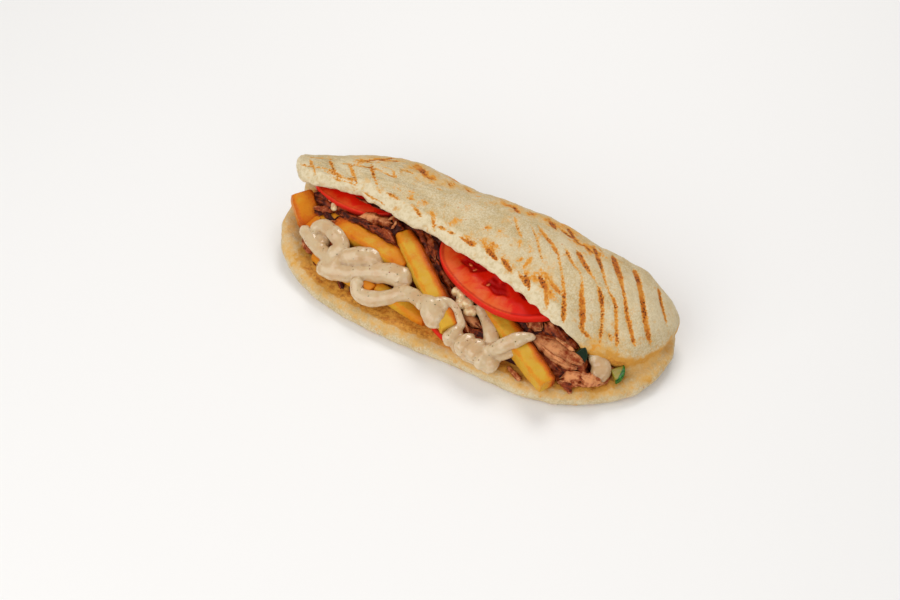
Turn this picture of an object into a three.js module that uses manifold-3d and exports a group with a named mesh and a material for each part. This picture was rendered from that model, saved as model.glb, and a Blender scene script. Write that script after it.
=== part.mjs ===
// Doner kebab sandwich: a grilled oval flatbread split along its front and filled with meat, chips,
// tomato, onion, cucumber and ropes of sauce. Millimetres, +Z up. The bread's fold is at +Y, its mouth
// at -Y, its open end at -X and its closed end at +X. The origin is under the middle of the bread.

import * as THREE from 'three';
import { mergeVertices } from 'three/addons/utils/BufferGeometryUtils.js';
import Module from 'manifold-3d';

const wasm = await Module();
wasm.setup();

// Driving dimensions.
const LENGTH = 252;          // the bread, end to end
const FRONT_DEPTH = 58;      // from the bread's long axis to its front lip
const BACK_DEPTH = 44;       // from that axis to the outside of the fold
const AXIS_Y = 8;            // where the long axis lies
const HEIGHT = 55;           // the crown of the top flap
const FLAP_THICKNESS = 11.5; // the bottom flap
const TOP_THICKNESS = 8.5;   // the top flap
const FOLD_THICKNESS = 12;   // the fold at the back
const COVER_END = 122.5;     // where the top flap meets the bottom one at the closed end
const END_CURL = 11;         // how far the open end of the bottom flap turns up
const CHIP_WIDTH = 12;       // a chip is cut about square
const SLICE_THICKNESS = 5.5; // a tomato slice
const SLOPE = 0.76;          // how steeply the filling rises behind the lip
const GAP = 0.35;            // between pieces that touch
const SEED = 20417;

// ---------------------------------------------------------------- helpers

const { clamp, lerp, smoothstep } = THREE.MathUtils;
const vec = (x, y, z) => new THREE.Vector3(x, y, z);

// A smooth curve through [x, value] pairs, level beyond its ends.
function curveThrough(pairs) {
  const xs = pairs.map((pair) => pair[0]);
  const values = pairs.map((pair) => pair[1]);
  const interpolant = new THREE.CubicInterpolant(xs, values, 1);
  return (x) => interpolant.evaluate(clamp(x, xs[0], xs.at(-1)))[0];
}

// A repeatable source of numbers from 0 to 1.
function randomSource(seed) {
  let state = seed;
  return () => {
    state = (state * 1664525 + 1013904223) % 4294967296;
    return state / 4294967296;
  };
}

function closedGeometry(positions, triangles) {
  const geometry = new THREE.BufferGeometry();
  geometry.setAttribute('position', new THREE.Float32BufferAttribute(positions, 3));
  geometry.setIndex(triangles);
  return geometry;
}

// A closed skin over rings that all have the same number of points, with a flat cap at each end.
function skin(rings, capOutline) {
  const count = rings[0].length;
  const positions = rings.flat().flatMap((point) => point.toArray());
  const triangles = [];
  for (let ring = 0; ring + 1 < rings.length; ring += 1) {
    for (let i = 0; i < count; i += 1) {
      const a = ring * count + i;
      const b = ring * count + ((i + 1) % count);
      triangles.push(a, b, a + count, b, b + count, a + count);
    }
  }
  const last = (rings.length - 1) * count;
  for (const [a, b, c] of THREE.ShapeUtils.triangulateShape(capOutline(0), [])) {
    triangles.push(a, c, b);
  }
  for (const [a, b, c] of THREE.ShapeUtils.triangulateShape(capOutline(rings.length - 1), [])) {
    triangles.push(last + a, last + b, last + c);
  }
  return closedGeometry(positions, triangles);
}

// Sections in the YZ plane, one for each station along X.
function loft(stations, section) {
  const outlines = stations.map(section);
  const rings = outlines.map((outline, k) => outline.map((p) => vec(stations[k], p.x, p.y)));
  return skin(rings, (k) => outlines[k]);
}

// A closed outline through control points, grown outwards by a margin. Points run anticlockwise.
function outlineThrough(controls, count, margin) {
  const curve = new THREE.CatmullRomCurve3(controls.map(([y, z]) => vec(y, z, 0)), true);
  const points = Array.from({ length: count }, (_, i) => curve.getPoint(i / count));
  return points.map((point, i) => {
    const before = points[(i + count - 1) % count];
    const after = points[(i + 1) % count];
    const along = new THREE.Vector2(after.x - before.x, after.y - before.y).normalize();
    return new THREE.Vector2(point.x + along.y * margin, point.y - along.x * margin);
  });
}

// Sections square to a curve, turned so that their own up stays near the given one.
function sweep(curve, steps, up, section) {
  const rings = [];
  const outlines = [];
  for (let k = 0; k <= steps; k += 1) {
    const t = k / steps;
    const centre = curve.getPoint(t);
    const along = curve.getTangent(t);
    const side = vec(0, 0, 0).crossVectors(along, up).normalize();
    const over = vec(0, 0, 0).crossVectors(side, along);
    const outline = section(t);
    outlines.push(outline);
    rings.push(outline.map((p) => centre.clone().addScaledVector(side, p.x).addScaledVector(over, p.y)));
  }
  return skin(rings, (k) => outlines[k]);
}

function roundSection(width, height, sides) {
  return Array.from({ length: sides }, (_, i) => {
    const angle = (2 * Math.PI * i) / sides;
    return new THREE.Vector2((width / 2) * Math.cos(angle), (height / 2) * Math.sin(angle));
  });
}

// A rectangle with cut corners.
function squareSection(width, height, corner) {
  const w = width / 2;
  const h = height / 2;
  const c = corner;
  return [
    [w, -h + c], [w, h - c], [w - c, h], [-w + c, h], [-w, h - c], [-w, -h + c], [-w + c, -h], [w - c, -h],
  ].map(([x, y]) => new THREE.Vector2(x, y));
}

function solid(geometry) {
  const plain = geometry.clone();
  plain.deleteAttribute('normal');
  plain.deleteAttribute('uv');
  const merged = mergeVertices(plain, 1e-4);
  const body = new wasm.Manifold(new wasm.Mesh({
    numProp: 3,
    vertProperties: merged.attributes.position.array,
    triVerts: Uint32Array.from(merged.index.array),
  }));
  if (body.volume() > 0) return body;
  const flipped = Uint32Array.from(merged.index.array).reverse();
  return new wasm.Manifold(new wasm.Mesh({
    numProp: 3,
    vertProperties: merged.attributes.position.array,
    triVerts: flipped,
  }));
}

const joined = (bodies) => bodies.reduce((whole, body) => whole.add(body));
const largest = (body) => body.decompose().sort((a, b) => b.volume() - a.volume())[0];

function geometryOf(body) {
  const mesh = body.getMesh();
  return closedGeometry(Array.from(mesh.vertProperties), Array.from(mesh.triVerts));
}

// ---------------------------------------------------------------- bread

// The oval plan of the bread: 1 on the middle line, falling to 0 at the ends.
const ovalness = (x, reach = LENGTH / 2) => Math.max(0, 1 - Math.abs(x / reach) ** 2.5) ** 0.4;

// The lip bulges forward most near its closed end.
const frontLip = (x) => AXIS_Y - FRONT_DEPTH * ovalness(x) - 6 * Math.exp(-(((x - 72) / 36) ** 2));

// How far the oval reaches from its axis in a direction, found by halving.
function planRadius(angle) {
  let near = 0;
  let far = LENGTH / 2;
  for (let i = 0; i < 30; i += 1) {
    const r = (near + far) / 2;
    const x = r * Math.cos(angle);
    const y = AXIS_Y + r * Math.sin(angle);
    const back = AXIS_Y + (BACK_DEPTH - 4) * ovalness(x, LENGTH / 2 + 1);
    const inside = Math.abs(x) < LENGTH / 2 && y > frontLip(x) && y < back;
    if (inside) near = r;
    else far = r;
  }
  return near;
}

// Both ends turn up from the surface, the open one much more.
function endLift(x) {
  const open = clamp((-92 - x) / 34, 0, 1) ** 1.7;
  const closed = clamp((x - 104) / 22, 0, 1) ** 2;
  return END_CURL * open + 4 * closed;
}

// The bottom flap: an oval slab with a round rim, turned up at its open end.
function bottomFlap(margin) {
  const rim = [
    [30, 0], [8, 0], [3, 0.9], [0.4, 3.6], [0.6, 7], [3.4, 10], [9, FLAP_THICKNESS], [30, FLAP_THICKNESS],
  ];
  const rimReach = 5;
  const deepest = 0.62;
  const around = 50;
  const positions = [];
  const triangles = [];
  const place = (angle, inset, z) => {
    const radius = planRadius(angle);
    const r = radius - Math.min(inset, radius * deepest);
    const x = r * Math.cos(angle);
    const y = AXIS_Y + r * Math.sin(angle);
    positions.push(x, y, z + endLift(x));
  };
  for (let i = 0; i < around; i += 1) {
    const angle = (2 * Math.PI * i) / around;
    for (const [inset, z] of rim) {
      const outwards = inset < rimReach ? margin : 0;
      const upwards = z > FLAP_THICKNESS / 2 ? margin : -margin;
      place(angle, inset - outwards, z + upwards);
    }
  }
  const bottom = positions.length / 3;
  positions.push(0, AXIS_Y, -margin);
  positions.push(0, AXIS_Y, FLAP_THICKNESS + margin);
  for (let i = 0; i < around; i += 1) {
    const here = i * rim.length;
    const next = ((i + 1) % around) * rim.length;
    for (let k = 0; k + 1 < rim.length; k += 1) {
      triangles.push(here + k, next + k, here + k + 1, next + k, next + k + 1, here + k + 1);
    }
    triangles.push(bottom, next, here);
    triangles.push(bottom + 1, here + rim.length - 1, next + rim.length - 1);
  }
  return closedGeometry(positions, triangles);
}

// The fold and the top flap, as one hook-shaped section that closes to a dome at the far end.
const foldBack = curveThrough([
  [-126, 30], [-120, 35], [-104, 41], [-85, 48.5], [-62, 53], [-35, 53.5], [0, 51.5],
  [60, 50], [89, 45], [104, 39], [114, 33.5], [119.5, 29.5], [COVER_END, 25],
]);
const crown = curveThrough([
  [-126, 46], [-112, 49], [-85, 52], [-40, 54], [10, HEIGHT], [60, 54],
  [88, 50], [103, 44], [113, 37], [119.5, 30], [COVER_END, 25],
]);
const flapEdge = curveThrough([
  [-126, 19], [-120, 10], [-110, 7], [-95, 7], [-70, 7], [-47, 2], [-25, 0], [0, -6], [26, -13],
  [45, -19], [60, -26], [70, -28], [83, -28], [91, -23.5], [99, -19], [107, -14], [113, -7],
  [119.5, 4], [COVER_END, 12],
]);
const edgeHeight = curveThrough([
  [-126, 42], [-95, 45], [-20, 46], [45, 45], [60, 43], [70, 39], [77, 33], [84, 26], [91, 20],
  [100, 15], [113, 13.5], [COVER_END, 17],
]);

// 1 where the top flap stands clear of the filling, 0 where it has closed onto the bottom flap.
const openness = (x) => 1 - smoothstep(x, 66, 114);

// How far the closed end's underside lifts at its very tip.
const overhang = (x) => 9 * smoothstep(x, 113, COVER_END);

function coverSection(x, margin) {
  const back = foldBack(x);
  const edge = flapEdge(x);
  const span = back - edge;
  const inside = back - Math.min(FOLD_THICKNESS, 0.3 * span);
  const top = crown(x);
  const nose = edgeHeight(x);
  const open = openness(x);
  const rise = endLift(x) + overhang(x);
  const arch = (closed, z) => lerp(closed + rise, z, open);
  return outlineThrough([
    [back - 0.45 * span, 1.5 + rise],
    [back - 0.13 * span, 4 + rise],
    [back, Math.max(0.47 * top, 10 + rise)],
    [back - 0.09 * span, 0.82 * top],
    [back - 0.33 * span, 0.97 * top],
    [edge + 0.45 * span, top],
    [edge + lerp(0.08, 0.16, open) * span, lerp(nose + 0.62 * (top - nose), nose + 5.5, open)],
    [edge, lerp(nose + 2, nose, open)],
    [edge + 0.12 * span, arch(8.5, nose - 4.5)],
    [edge + 0.4 * span, arch(8.5, top - TOP_THICKNESS)],
    [inside - 0.15 * span, arch(8.5, 0.78 * top)],
    [inside, arch(7.5, 0.5 * top)],
    [inside - 0.1 * span, arch(6.5, 15)],
    [back - 0.5 * span, 5.5 + rise],
  ], 28, margin);
}

// Stations lie closer together towards both ends.
function coverStations(margin) {
  const steps = 35;
  return Array.from({ length: steps + 1 }, (_, k) => {
    const t = k / steps;
    const eased = lerp(t, 0.5 - 0.5 * Math.cos(Math.PI * t), 0.6);
    return lerp(-LENGTH / 2 - margin, COVER_END + margin, eased);
  });
}

const cover = (margin) => loft(coverStations(margin), (x) => coverSection(x, margin));
const bread = (margin) => solid(bottomFlap(margin)).add(solid(cover(margin)));

// ---------------------------------------------------------------- chips

// A chip is a little bent, thinner at its ends, and lies between two end points.
function chip({ from, to, width = CHIP_WIDTH, height = CHIP_WIDTH - 0.5, bend = 1.5 }) {
  return (margin) => {
    const start = vec(...from);
    const end = vec(...to);
    const along = end.clone().sub(start).normalize();
    const middle = start.clone().lerp(end, 0.45).add(vec(0, 0, bend));
    const curve = new THREE.QuadraticBezierCurve3(
      start.clone().addScaledVector(along, -margin), middle, end.clone().addScaledVector(along, margin));
    return solid(sweep(curve, 6, vec(0, 0, 1), (t) => {
      const taper = 1 - 0.16 * Math.abs(2 * t - 1) ** 6;
      return squareSection(width * taper + 2 * margin, height * taper + 2 * margin, 1.6);
    }));
  };
}

const CHIPS = {
  fry_1: { from: [-116, 7, 33], to: [-103, -4.5, 20.5], width: 14.5, height: 12, bend: 0 },
  fry_2: { from: [-104, -9, 22], to: [-70, 12, 29], width: 11, height: 10 },
  fry_3: { from: [-86, -4, 29], to: [-34, -12, 27], width: 12, height: 11.5 },
  fry_4: { from: [-44, 3, 35], to: [7, -39, 22.5], width: 12.5, height: 11 },
  fry_5: { from: [-92, -20, 16], to: [-47, -31, 18], width: 9, height: 8, bend: 0 },
  fry_6: { from: [-52, -26, 16.8], to: [-10, -35.5, 16.4], width: 9, height: 8, bend: 0 },
  fry_7: { from: [14, -15, 25.5], to: [69, -49, 18.5], width: 12.5, height: 12, bend: 1 },
};

// ---------------------------------------------------------------- slices

// A slice with a rounded rim. Its long radius lies along a heading, and it dips to its front.
function slice({ centre, radii, heading = 0, dip = 0, roll = 0, thickness = SLICE_THICKNESS }) {
  return (margin) => {
    const half = thickness / 2 + margin;
    const profile = [
      [0, -half], [0.94, -half], [0.995, -half * 0.4], [0.995, half * 0.4], [0.94, half], [0, half],
    ];
    const geometry = new THREE.LatheGeometry(profile.map(([r, z]) => new THREE.Vector2(r, z)), 26);
    geometry.rotateX(Math.PI / 2);
    geometry.scale(radii[0] + margin, radii[1] + margin, 1);
    const turn = new THREE.Euler(dip, roll, heading, 'ZXY');
    geometry.applyMatrix4(new THREE.Matrix4().makeRotationFromEuler(turn));
    geometry.translate(...centre);
    return solid(geometry);
  };
}

const TOMATOES = {
  tomato_right: { centre: [22, 2.5, 37.5], radii: [44, 27.5], heading: -0.27, dip: 0.1 },
  tomato_left: { centre: [-82, 18.5, 37], radii: [31, 16], heading: -0.05, dip: 0.12 },
  tomato_lower: { centre: [20, -5, 14.1], radii: [38, 38], thickness: 3.8 },
};

// A quarter of a thin slice of cucumber, with its skin along the curved side.
function cucumberWedge({ centre, radius, thickness, turn }) {
  return (margin) => {
    const shape = new THREE.Shape();
    shape.moveTo(-margin, -margin);
    shape.lineTo(radius + 1.5 * margin, -margin);
    shape.absarc(-margin, -margin, radius + 2.5 * margin, 0, Math.PI / 2, false);
    shape.closePath();
    const geometry = new THREE.ExtrudeGeometry(shape, {
      depth: thickness + 2 * margin, bevelEnabled: false, curveSegments: 8,
    });
    geometry.translate(-radius * 0.45, -radius * 0.45, -thickness / 2 - margin);
    geometry.applyMatrix4(new THREE.Matrix4().makeRotationFromEuler(new THREE.Euler(...turn)));
    geometry.translate(...centre);
    return solid(geometry);
  };
}

const CUCUMBERS = {
  cucumber_1: { centre: [78.5, -27.5, 19], radius: 8, thickness: 4, turn: [0.9, 0.3, -0.6] },
  cucumber_2: { centre: [107, -22.5, 15.2], radius: 9.5, thickness: 4.5, turn: [0.12, 0, -0.8] },
};

// Chopped onion, wet and stuck together.
const ONION = [
  [0, -19, 29, 4], [5, -21.5, 28, 4.2], [9, -24.5, 26, 4], [14, -27.5, 24, 3.8], [2, -24, 25.5, 3.6],
];

function onion(margin) {
  return joined(ONION.map(([x, y, z, r]) => {
    const geometry = new THREE.IcosahedronGeometry(r + margin, 1);
    geometry.scale(1.1, 0.95, 0.9);
    geometry.translate(x, y, z);
    return solid(geometry);
  }));
}

// ---------------------------------------------------------------- sauce

// Each rope is a width and the points that it passes through.
const ROPES = [
  { width: 8.5, through: [[-107, -9, 24], [-101, -12, 24], [-95, -15, 23], [-90, -20, 21]] },
  {
    width: 10.5,
    through: [
      [-99, -11, 28], [-94, -8, 31], [-84, -10, 33], [-74, -13, 32], [-70, -18, 28], [-76, -21, 25],
    ],
  },
  {
    width: 10.5,
    through: [
      [-94, -19, 22], [-83, -22.5, 22], [-70, -22, 25], [-58, -19, 29], [-51, -16, 32],
    ],
  },
  {
    width: 10,
    through: [
      [-89, -26, 19], [-80, -30, 19], [-63, -28, 21.5], [-47, -24, 25],
      [-34, -19, 30], [-26, -22, 29], [-30, -27, 24],
    ],
  },
  {
    width: 8,
    through: [
      [-60, -30, 19], [-56, -36, 16.5], [-44, -38, 16.5], [-35, -33, 19], [-24, -28, 24], [-12, -30, 27],
    ],
  },
  { width: 14, through: [[-15, -28, 25], [-10, -32, 28.5], [-5, -35, 30.5], [1, -39.5, 27.5], [6, -42, 20]] },
  {
    width: 11,
    through: [
      [2, -39, 20], [8, -41.5, 18], [15, -43.5, 17.5], [24, -47, 17],
      [32, -48, 17], [39, -45, 17.5], [42, -39, 20],
    ],
  },
  { width: 7.5, through: [[33, -40, 20], [38, -42, 27], [46, -40.5, 32], [53, -36, 31.5], [59, -31, 29]] },
  { width: 8.5, through: [[15, -26, 28], [22, -29, 26], [28, -33, 24], [31, -37, 21], [29, -41, 18]] },
  { width: 12, through: [[6, -38, 20], [14, -38, 20], [24, -40, 20], [34, -41, 19]] },
];
const END_ROPE = { width: 9, through: [[86, -22, 20], [91, -25, 17], [97, -28, 15]] };

// Sauce flows a little flat, swells and narrows as it falls, and ends round.
function rope({ width, through }, margin) {
  const curve = new THREE.CatmullRomCurve3(through.map((point) => vec(...point)));
  const stepLength = 4.2;
  const flatness = 0.86;
  const steps = Math.max(6, Math.round(curve.getLength() / stepLength));
  return solid(sweep(curve, steps, vec(0, 0, 1), (t) => {
    const end = Math.min(t, 1 - t) * curve.getLength();
    const round = Math.sqrt(clamp(end / (width * 0.45), 0.05, 1));
    const swell = 1 + 0.09 * Math.sin(t * steps * 1.3);
    const across = width * round * swell;
    return roundSection(across + 2 * margin, across * flatness + 2 * margin, 7);
  }));
}

const sauce = (margin) => joined(ROPES.map((one) => rope(one, margin)));
const sauceEnd = (margin) => rope(END_ROPE, margin);

// ---------------------------------------------------------------- meat

// The filling slopes from under the flap's edge down to the bottom flap, short of its lip.
const footInset = curveThrough([[-110, 14], [-70, 15], [-40, 19], [0, 18], [30, 14], [60, 11], [100, 9]]);
const slopeHeight = (inset) => clamp(FLAP_THICKNESS + 1 + SLOPE * inset, FLAP_THICKNESS + 1, 38);

function meatCore() {
  const stations = Array.from({ length: 21 }, (_, k) => lerp(-110, 100, k / 20));
  return solid(loft(stations, (x) => {
    const end = Math.min(1, Math.sqrt((x + 112) / 14), Math.sqrt((103 - x) / 26));
    const foot = frontLip(x) + footInset(x);
    const back = foldBack(x) - FOLD_THICKNESS - 2;
    const floor = FLAP_THICKNESS + 0.5 + endLift(x);
    const top = floor + (Math.min(crown(x) - TOP_THICKNESS - 2, 41) - floor) * end;
    const shelf = (top - floor) / SLOPE;
    return outlineThrough([
      [foot, floor],
      [back - 14, floor],
      [back - 6, floor + 1.5],
      [back, lerp(floor, top, 0.5)],
      [back - 5, lerp(floor, top, 0.85)],
      [Math.max(foot + shelf + 6, lerp(foot, back, 0.72)), top],
      [foot + shelf, top - 2],
      [foot + shelf * 0.5, lerp(floor, top, 0.52)],
    ], 16, 0);
  }));
}

// Where the meat shows, by length along the bread and by distance up the slope.
const SHRED_AREAS = [
  { x: [-104, -74], inset: [18, 30], count: 5 },
  { x: [-72, -40], inset: [20, 32], count: 6 },
  { x: [-34, 2], inset: [14, 30], count: 7 },
  { x: [-100, -64], inset: [1, 10], count: 3 },
  { x: [24, 52], inset: [6, 22], count: 3 },
  { x: [56, 96], inset: [1, 14], count: 9 },
];

// A flat strip of sliced meat, lying on the slope with its middle a little raised.
function shred({ x: reachX, inset: reachInset }, random) {
  const x = lerp(...reachX, random());
  const inset = lerp(...reachInset, random());
  const height = slopeHeight(inset) + lerp(-0.5, 1.2, random());
  const centre = vec(x, frontLip(x) + footInset(x) + inset, height);
  const heading = lerp(-1.1, 0.5, random());
  const reach = lerp(6.5, 11.5, random());
  const step = vec(Math.cos(heading), Math.sin(heading), SLOPE * Math.sin(heading)).multiplyScalar(reach);
  const middle = centre.clone().add(vec(0, 0, lerp(0.5, 3, random())));
  const curve = new THREE.QuadraticBezierCurve3(centre.clone().sub(step), middle, centre.clone().add(step));
  const width = lerp(5.5, 9, random());
  const thickness = lerp(3.4, 4.8, random());
  return solid(sweep(curve, 4, vec(0, -SLOPE, 1).normalize(), (t) => {
    const taper = 0.5 + 0.5 * Math.sin(Math.PI * clamp(t, 0.08, 0.92));
    return roundSection(width * taper, thickness * taper, 5);
  }));
}

function meat() {
  const random = randomSource(SEED);
  const shredsOf = (area) => Array.from({ length: area.count }, () => shred(area, random));
  return joined([meatCore(), ...SHRED_AREAS.flatMap(shredsOf)]);
}

// ---------------------------------------------------------------- the sandwich

const FINISHES = {
  bread: { color: 0xd9c28f, roughness: 0.85 },
  fry: { color: 0xd9a441, roughness: 0.55 },
  tomato: { color: 0xc8321f, roughness: 0.3 },
  cucumber: { color: 0x8fae4a, roughness: 0.4 },
  onion: { color: 0xe0d5bd, roughness: 0.25 },
  sauce: { color: 0xdfd0b2, roughness: 0.3 },
  meat: { color: 0x9a6544, roughness: 0.6 },
};

function finishFor(name) {
  const kind = name.split('_')[0];
  return new THREE.MeshStandardMaterial({ metalness: 0, ...FINISHES[kind] });
}

// Pieces in the order in which they keep their shape: each later one is cut back from those before.
const makers = [['bread', bread]];
for (const [name, sizes] of Object.entries(CHIPS)) makers.push([name, chip(sizes)]);
for (const [name, sizes] of Object.entries(TOMATOES)) makers.push([name, slice(sizes)]);
for (const [name, sizes] of Object.entries(CUCUMBERS)) makers.push([name, cucumberWedge(sizes)]);
makers.push(['onion', onion], ['sauce', sauce], ['sauce_end', sauceEnd], ['meat', meat]);

const sandwich = new THREE.Group();
sandwich.name = 'doner_kebab_sandwich';
let occupied = null;
for (const [name, make] of makers) {
  const whole = make(0);
  const body = largest(occupied ? whole.subtract(occupied) : whole);
  const mesh = new THREE.Mesh(geometryOf(body), finishFor(name));
  mesh.name = name;
  sandwich.add(mesh);
  if (name !== 'meat') {
    const kept = make(GAP);
    occupied = occupied ? occupied.add(kept) : kept;
  }
}

export default sandwich;
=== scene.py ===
"""Looks for a doner kebab sandwich: a grilled flatbread filled with meat, chips, tomato and sauce.

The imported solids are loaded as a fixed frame, and each piece of food is modelled on its own solid.
+X runs from the open end to the closed end, -Y is the open mouth and +Z is up. Tables and points
are in millimetres. What Blender itself is given is in metres.
"""

import math
import random

import bpy
import numpy as np
from bpy.props import FloatProperty, FloatVectorProperty, PointerProperty
from mathutils import Matrix, Vector
from mathutils.bvhtree import BVHTree
from mathutils.kdtree import KDTree


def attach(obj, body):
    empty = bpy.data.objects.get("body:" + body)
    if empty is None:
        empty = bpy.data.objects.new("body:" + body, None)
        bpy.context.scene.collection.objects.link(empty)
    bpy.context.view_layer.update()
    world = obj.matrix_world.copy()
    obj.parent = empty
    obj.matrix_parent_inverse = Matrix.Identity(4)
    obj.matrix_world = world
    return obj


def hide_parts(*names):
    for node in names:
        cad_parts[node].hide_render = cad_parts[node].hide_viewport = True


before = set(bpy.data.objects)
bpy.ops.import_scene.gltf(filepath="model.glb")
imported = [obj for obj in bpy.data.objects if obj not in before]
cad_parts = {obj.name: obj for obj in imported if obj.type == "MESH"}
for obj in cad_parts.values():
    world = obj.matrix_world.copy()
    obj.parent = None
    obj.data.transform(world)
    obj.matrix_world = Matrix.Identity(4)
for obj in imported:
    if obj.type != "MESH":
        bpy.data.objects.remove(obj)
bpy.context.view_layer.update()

bl_info = {
    "name": "Doner kebab sandwich",
    "version": (1, 0, 0),
    "blender": (4, 5, 0),
    "location": "View3D > Sidebar > Sandwich",
    "description": "Dresses the solids of a doner kebab sandwich as food",
    "category": "Object",
}

MM = 0.001
SEED = 20417


# ------------------------------------------------------------------ places shared with the solids

FLAP_THICKNESS = 11.5
SLOPE = 0.76                     # how steeply the filling rises behind the lip

# These tables hold pairs: a place along the bread, and a value there.
# The top flap's front edge: its y, its height, and how far it is drawn back from where the solid has it.
EDGE_Y = [
    (-126, 19), (-120, 10), (-110, 7), (-95, 7), (-70, 7), (-47, 2), (-25, 0), (0, -6), (26, -13),
    (45, -19), (60, -26), (70, -28), (83, -28), (91, -23.5), (99, -19), (107, -14), (113, -7), (122.5, 12),
]
EDGE_HEIGHT = [
    (-126, 42), (-95, 45), (-20, 46), (45, 45), (60, 43), (70, 39), (77, 33), (84, 26), (91, 20), (100, 15),
    (113, 13.5), (122.5, 17),
]
EDGE_SHIFT = [
    (-126, 0), (-108, 0), (-99, 1), (-90, 1.4), (-84, 2.2), (-77, 3), (-69, 1), (-60, 0.5), (-50, 1),
    (-40, 0), (58, 0), (66, 2), (75, 4), (84, 4), (93, 1), (102, 0),
]
# How far the back bulges out past the solid.
BACK_BULGE = [
    (-112, 0), (-82, 2), (-69, 3.2), (-55, 3.4), (-48, 2.3), (-35, 0), (-28, -1.5), (-15, -2), (-8, 0),
    (31, 0.7), (38, -1.6), (46, -1.6), (54, -2.6), (61, -4), (77, -3.5), (86, -2.4), (95, -0.6), (118, 0),
]
# How high the puffed side at the closed end is golden: partly its baked colour, partly painted shade.
PUFFED_TOP = [(80, 39), (95, 38), (105, 32), (113, 27)]
# How far behind the lip the filling starts.
FOOT = [(-110, 14), (-70, 15), (-40, 19), (0, 18), (30, 14), (60, 11), (100, 9)]

# Each chip: its start and end, width, height and bend, then how brown it is all over and at each end, and how
# strong the painted shade on its right side is.
CHIPS = {
    "fry_1": ((-116, 7, 33), (-103, -4.5, 20.5), 14.5, 12, 0, 0.24, (0.45, 1.0), 0.2),
    "fry_2": ((-104, -9, 22), (-70, 12, 29), 11, 10, 1.5, 0.38, (0.4, 0.4), 0.1),
    "fry_3": ((-86, -4, 29), (-34, -12, 27), 12, 11.5, 1.5, 0.3, (1.0, 0.55), 0.3),
    "fry_4": ((-44, 3, 35), (7, -39, 22.5), 12.5, 11, 1.5, 0.12, (0.45, 0.0), 0.85),
    "fry_5": ((-92, -20, 16), (-47, -31, 18), 9, 8, 0, 0.3, (0.4, 0.5), 0.1),
    "fry_6": ((-52, -26, 16.8), (-10, -35.5, 16.4), 9, 8, 0, 0.3, (0.4, 0.5), 0.1),
    "fry_7": ((14, -15, 25.5), (69, -49, 18.5), 12.5, 12, 1, 0.12, (0.1, 0.2), 0.92),
}

# Each slice: its centre, its two radii, how it is turned and dips, its thickness and if it has seed pockets.
TOMATOES = {
    "tomato_right": ((22, 2.5, 37.5), (44, 27.5), -0.27, 0.1, 5.5, True),
    "tomato_left": ((-83, 20.8, 37), (31, 15.8), -0.05, 0.12, 5.5, False),
    "tomato_lower": ((20, -5, 14.1), (38, 38), 0, 0, 3.8, True),
}

# Each wedge: its centre and how bright its skin is.
CUCUMBERS = {"cucumber_1": ((78.5, -27.5, 19), 0.0), "cucumber_2": ((107, -22.5, 15.2), 1.0)}
ROUND_SIDE = 9.5                 # the radius of the pale wedge's round side
WEDGE_TURN = (0.12, -0.8)        # how the pale wedge is turned about X and Z

# How far a piece has moved from where its solid lies, and its size against the solid's.
MOVED = {
    "cucumber_1": ((3.4, 3.2, 5.6), 1.0),
    "cucumber_2": ((-3.4, 0.9, 0.8), 0.85),
    "tomato_lower": ((-2.5, -2, 0), 1.0),
    "fry_7": ((2.4, 1.2, 0), 1.0),
}

# Each lump of onion: its centre and radius.
ONION = [
    (0.6, -18.2, 29.5, 3.4), (5.1, -19.8, 29.2, 3.8), (9.8, -21.8, 28, 4), (14.2, -24, 26, 3.8),
    (5.7, -23.3, 27, 3.8), (11.8, -25.4, 25.5, 3.6), (-96.3, 6.7, 33.2, 2.4), (-92.1, 5.2, 33.2, 2.6),
]

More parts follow.
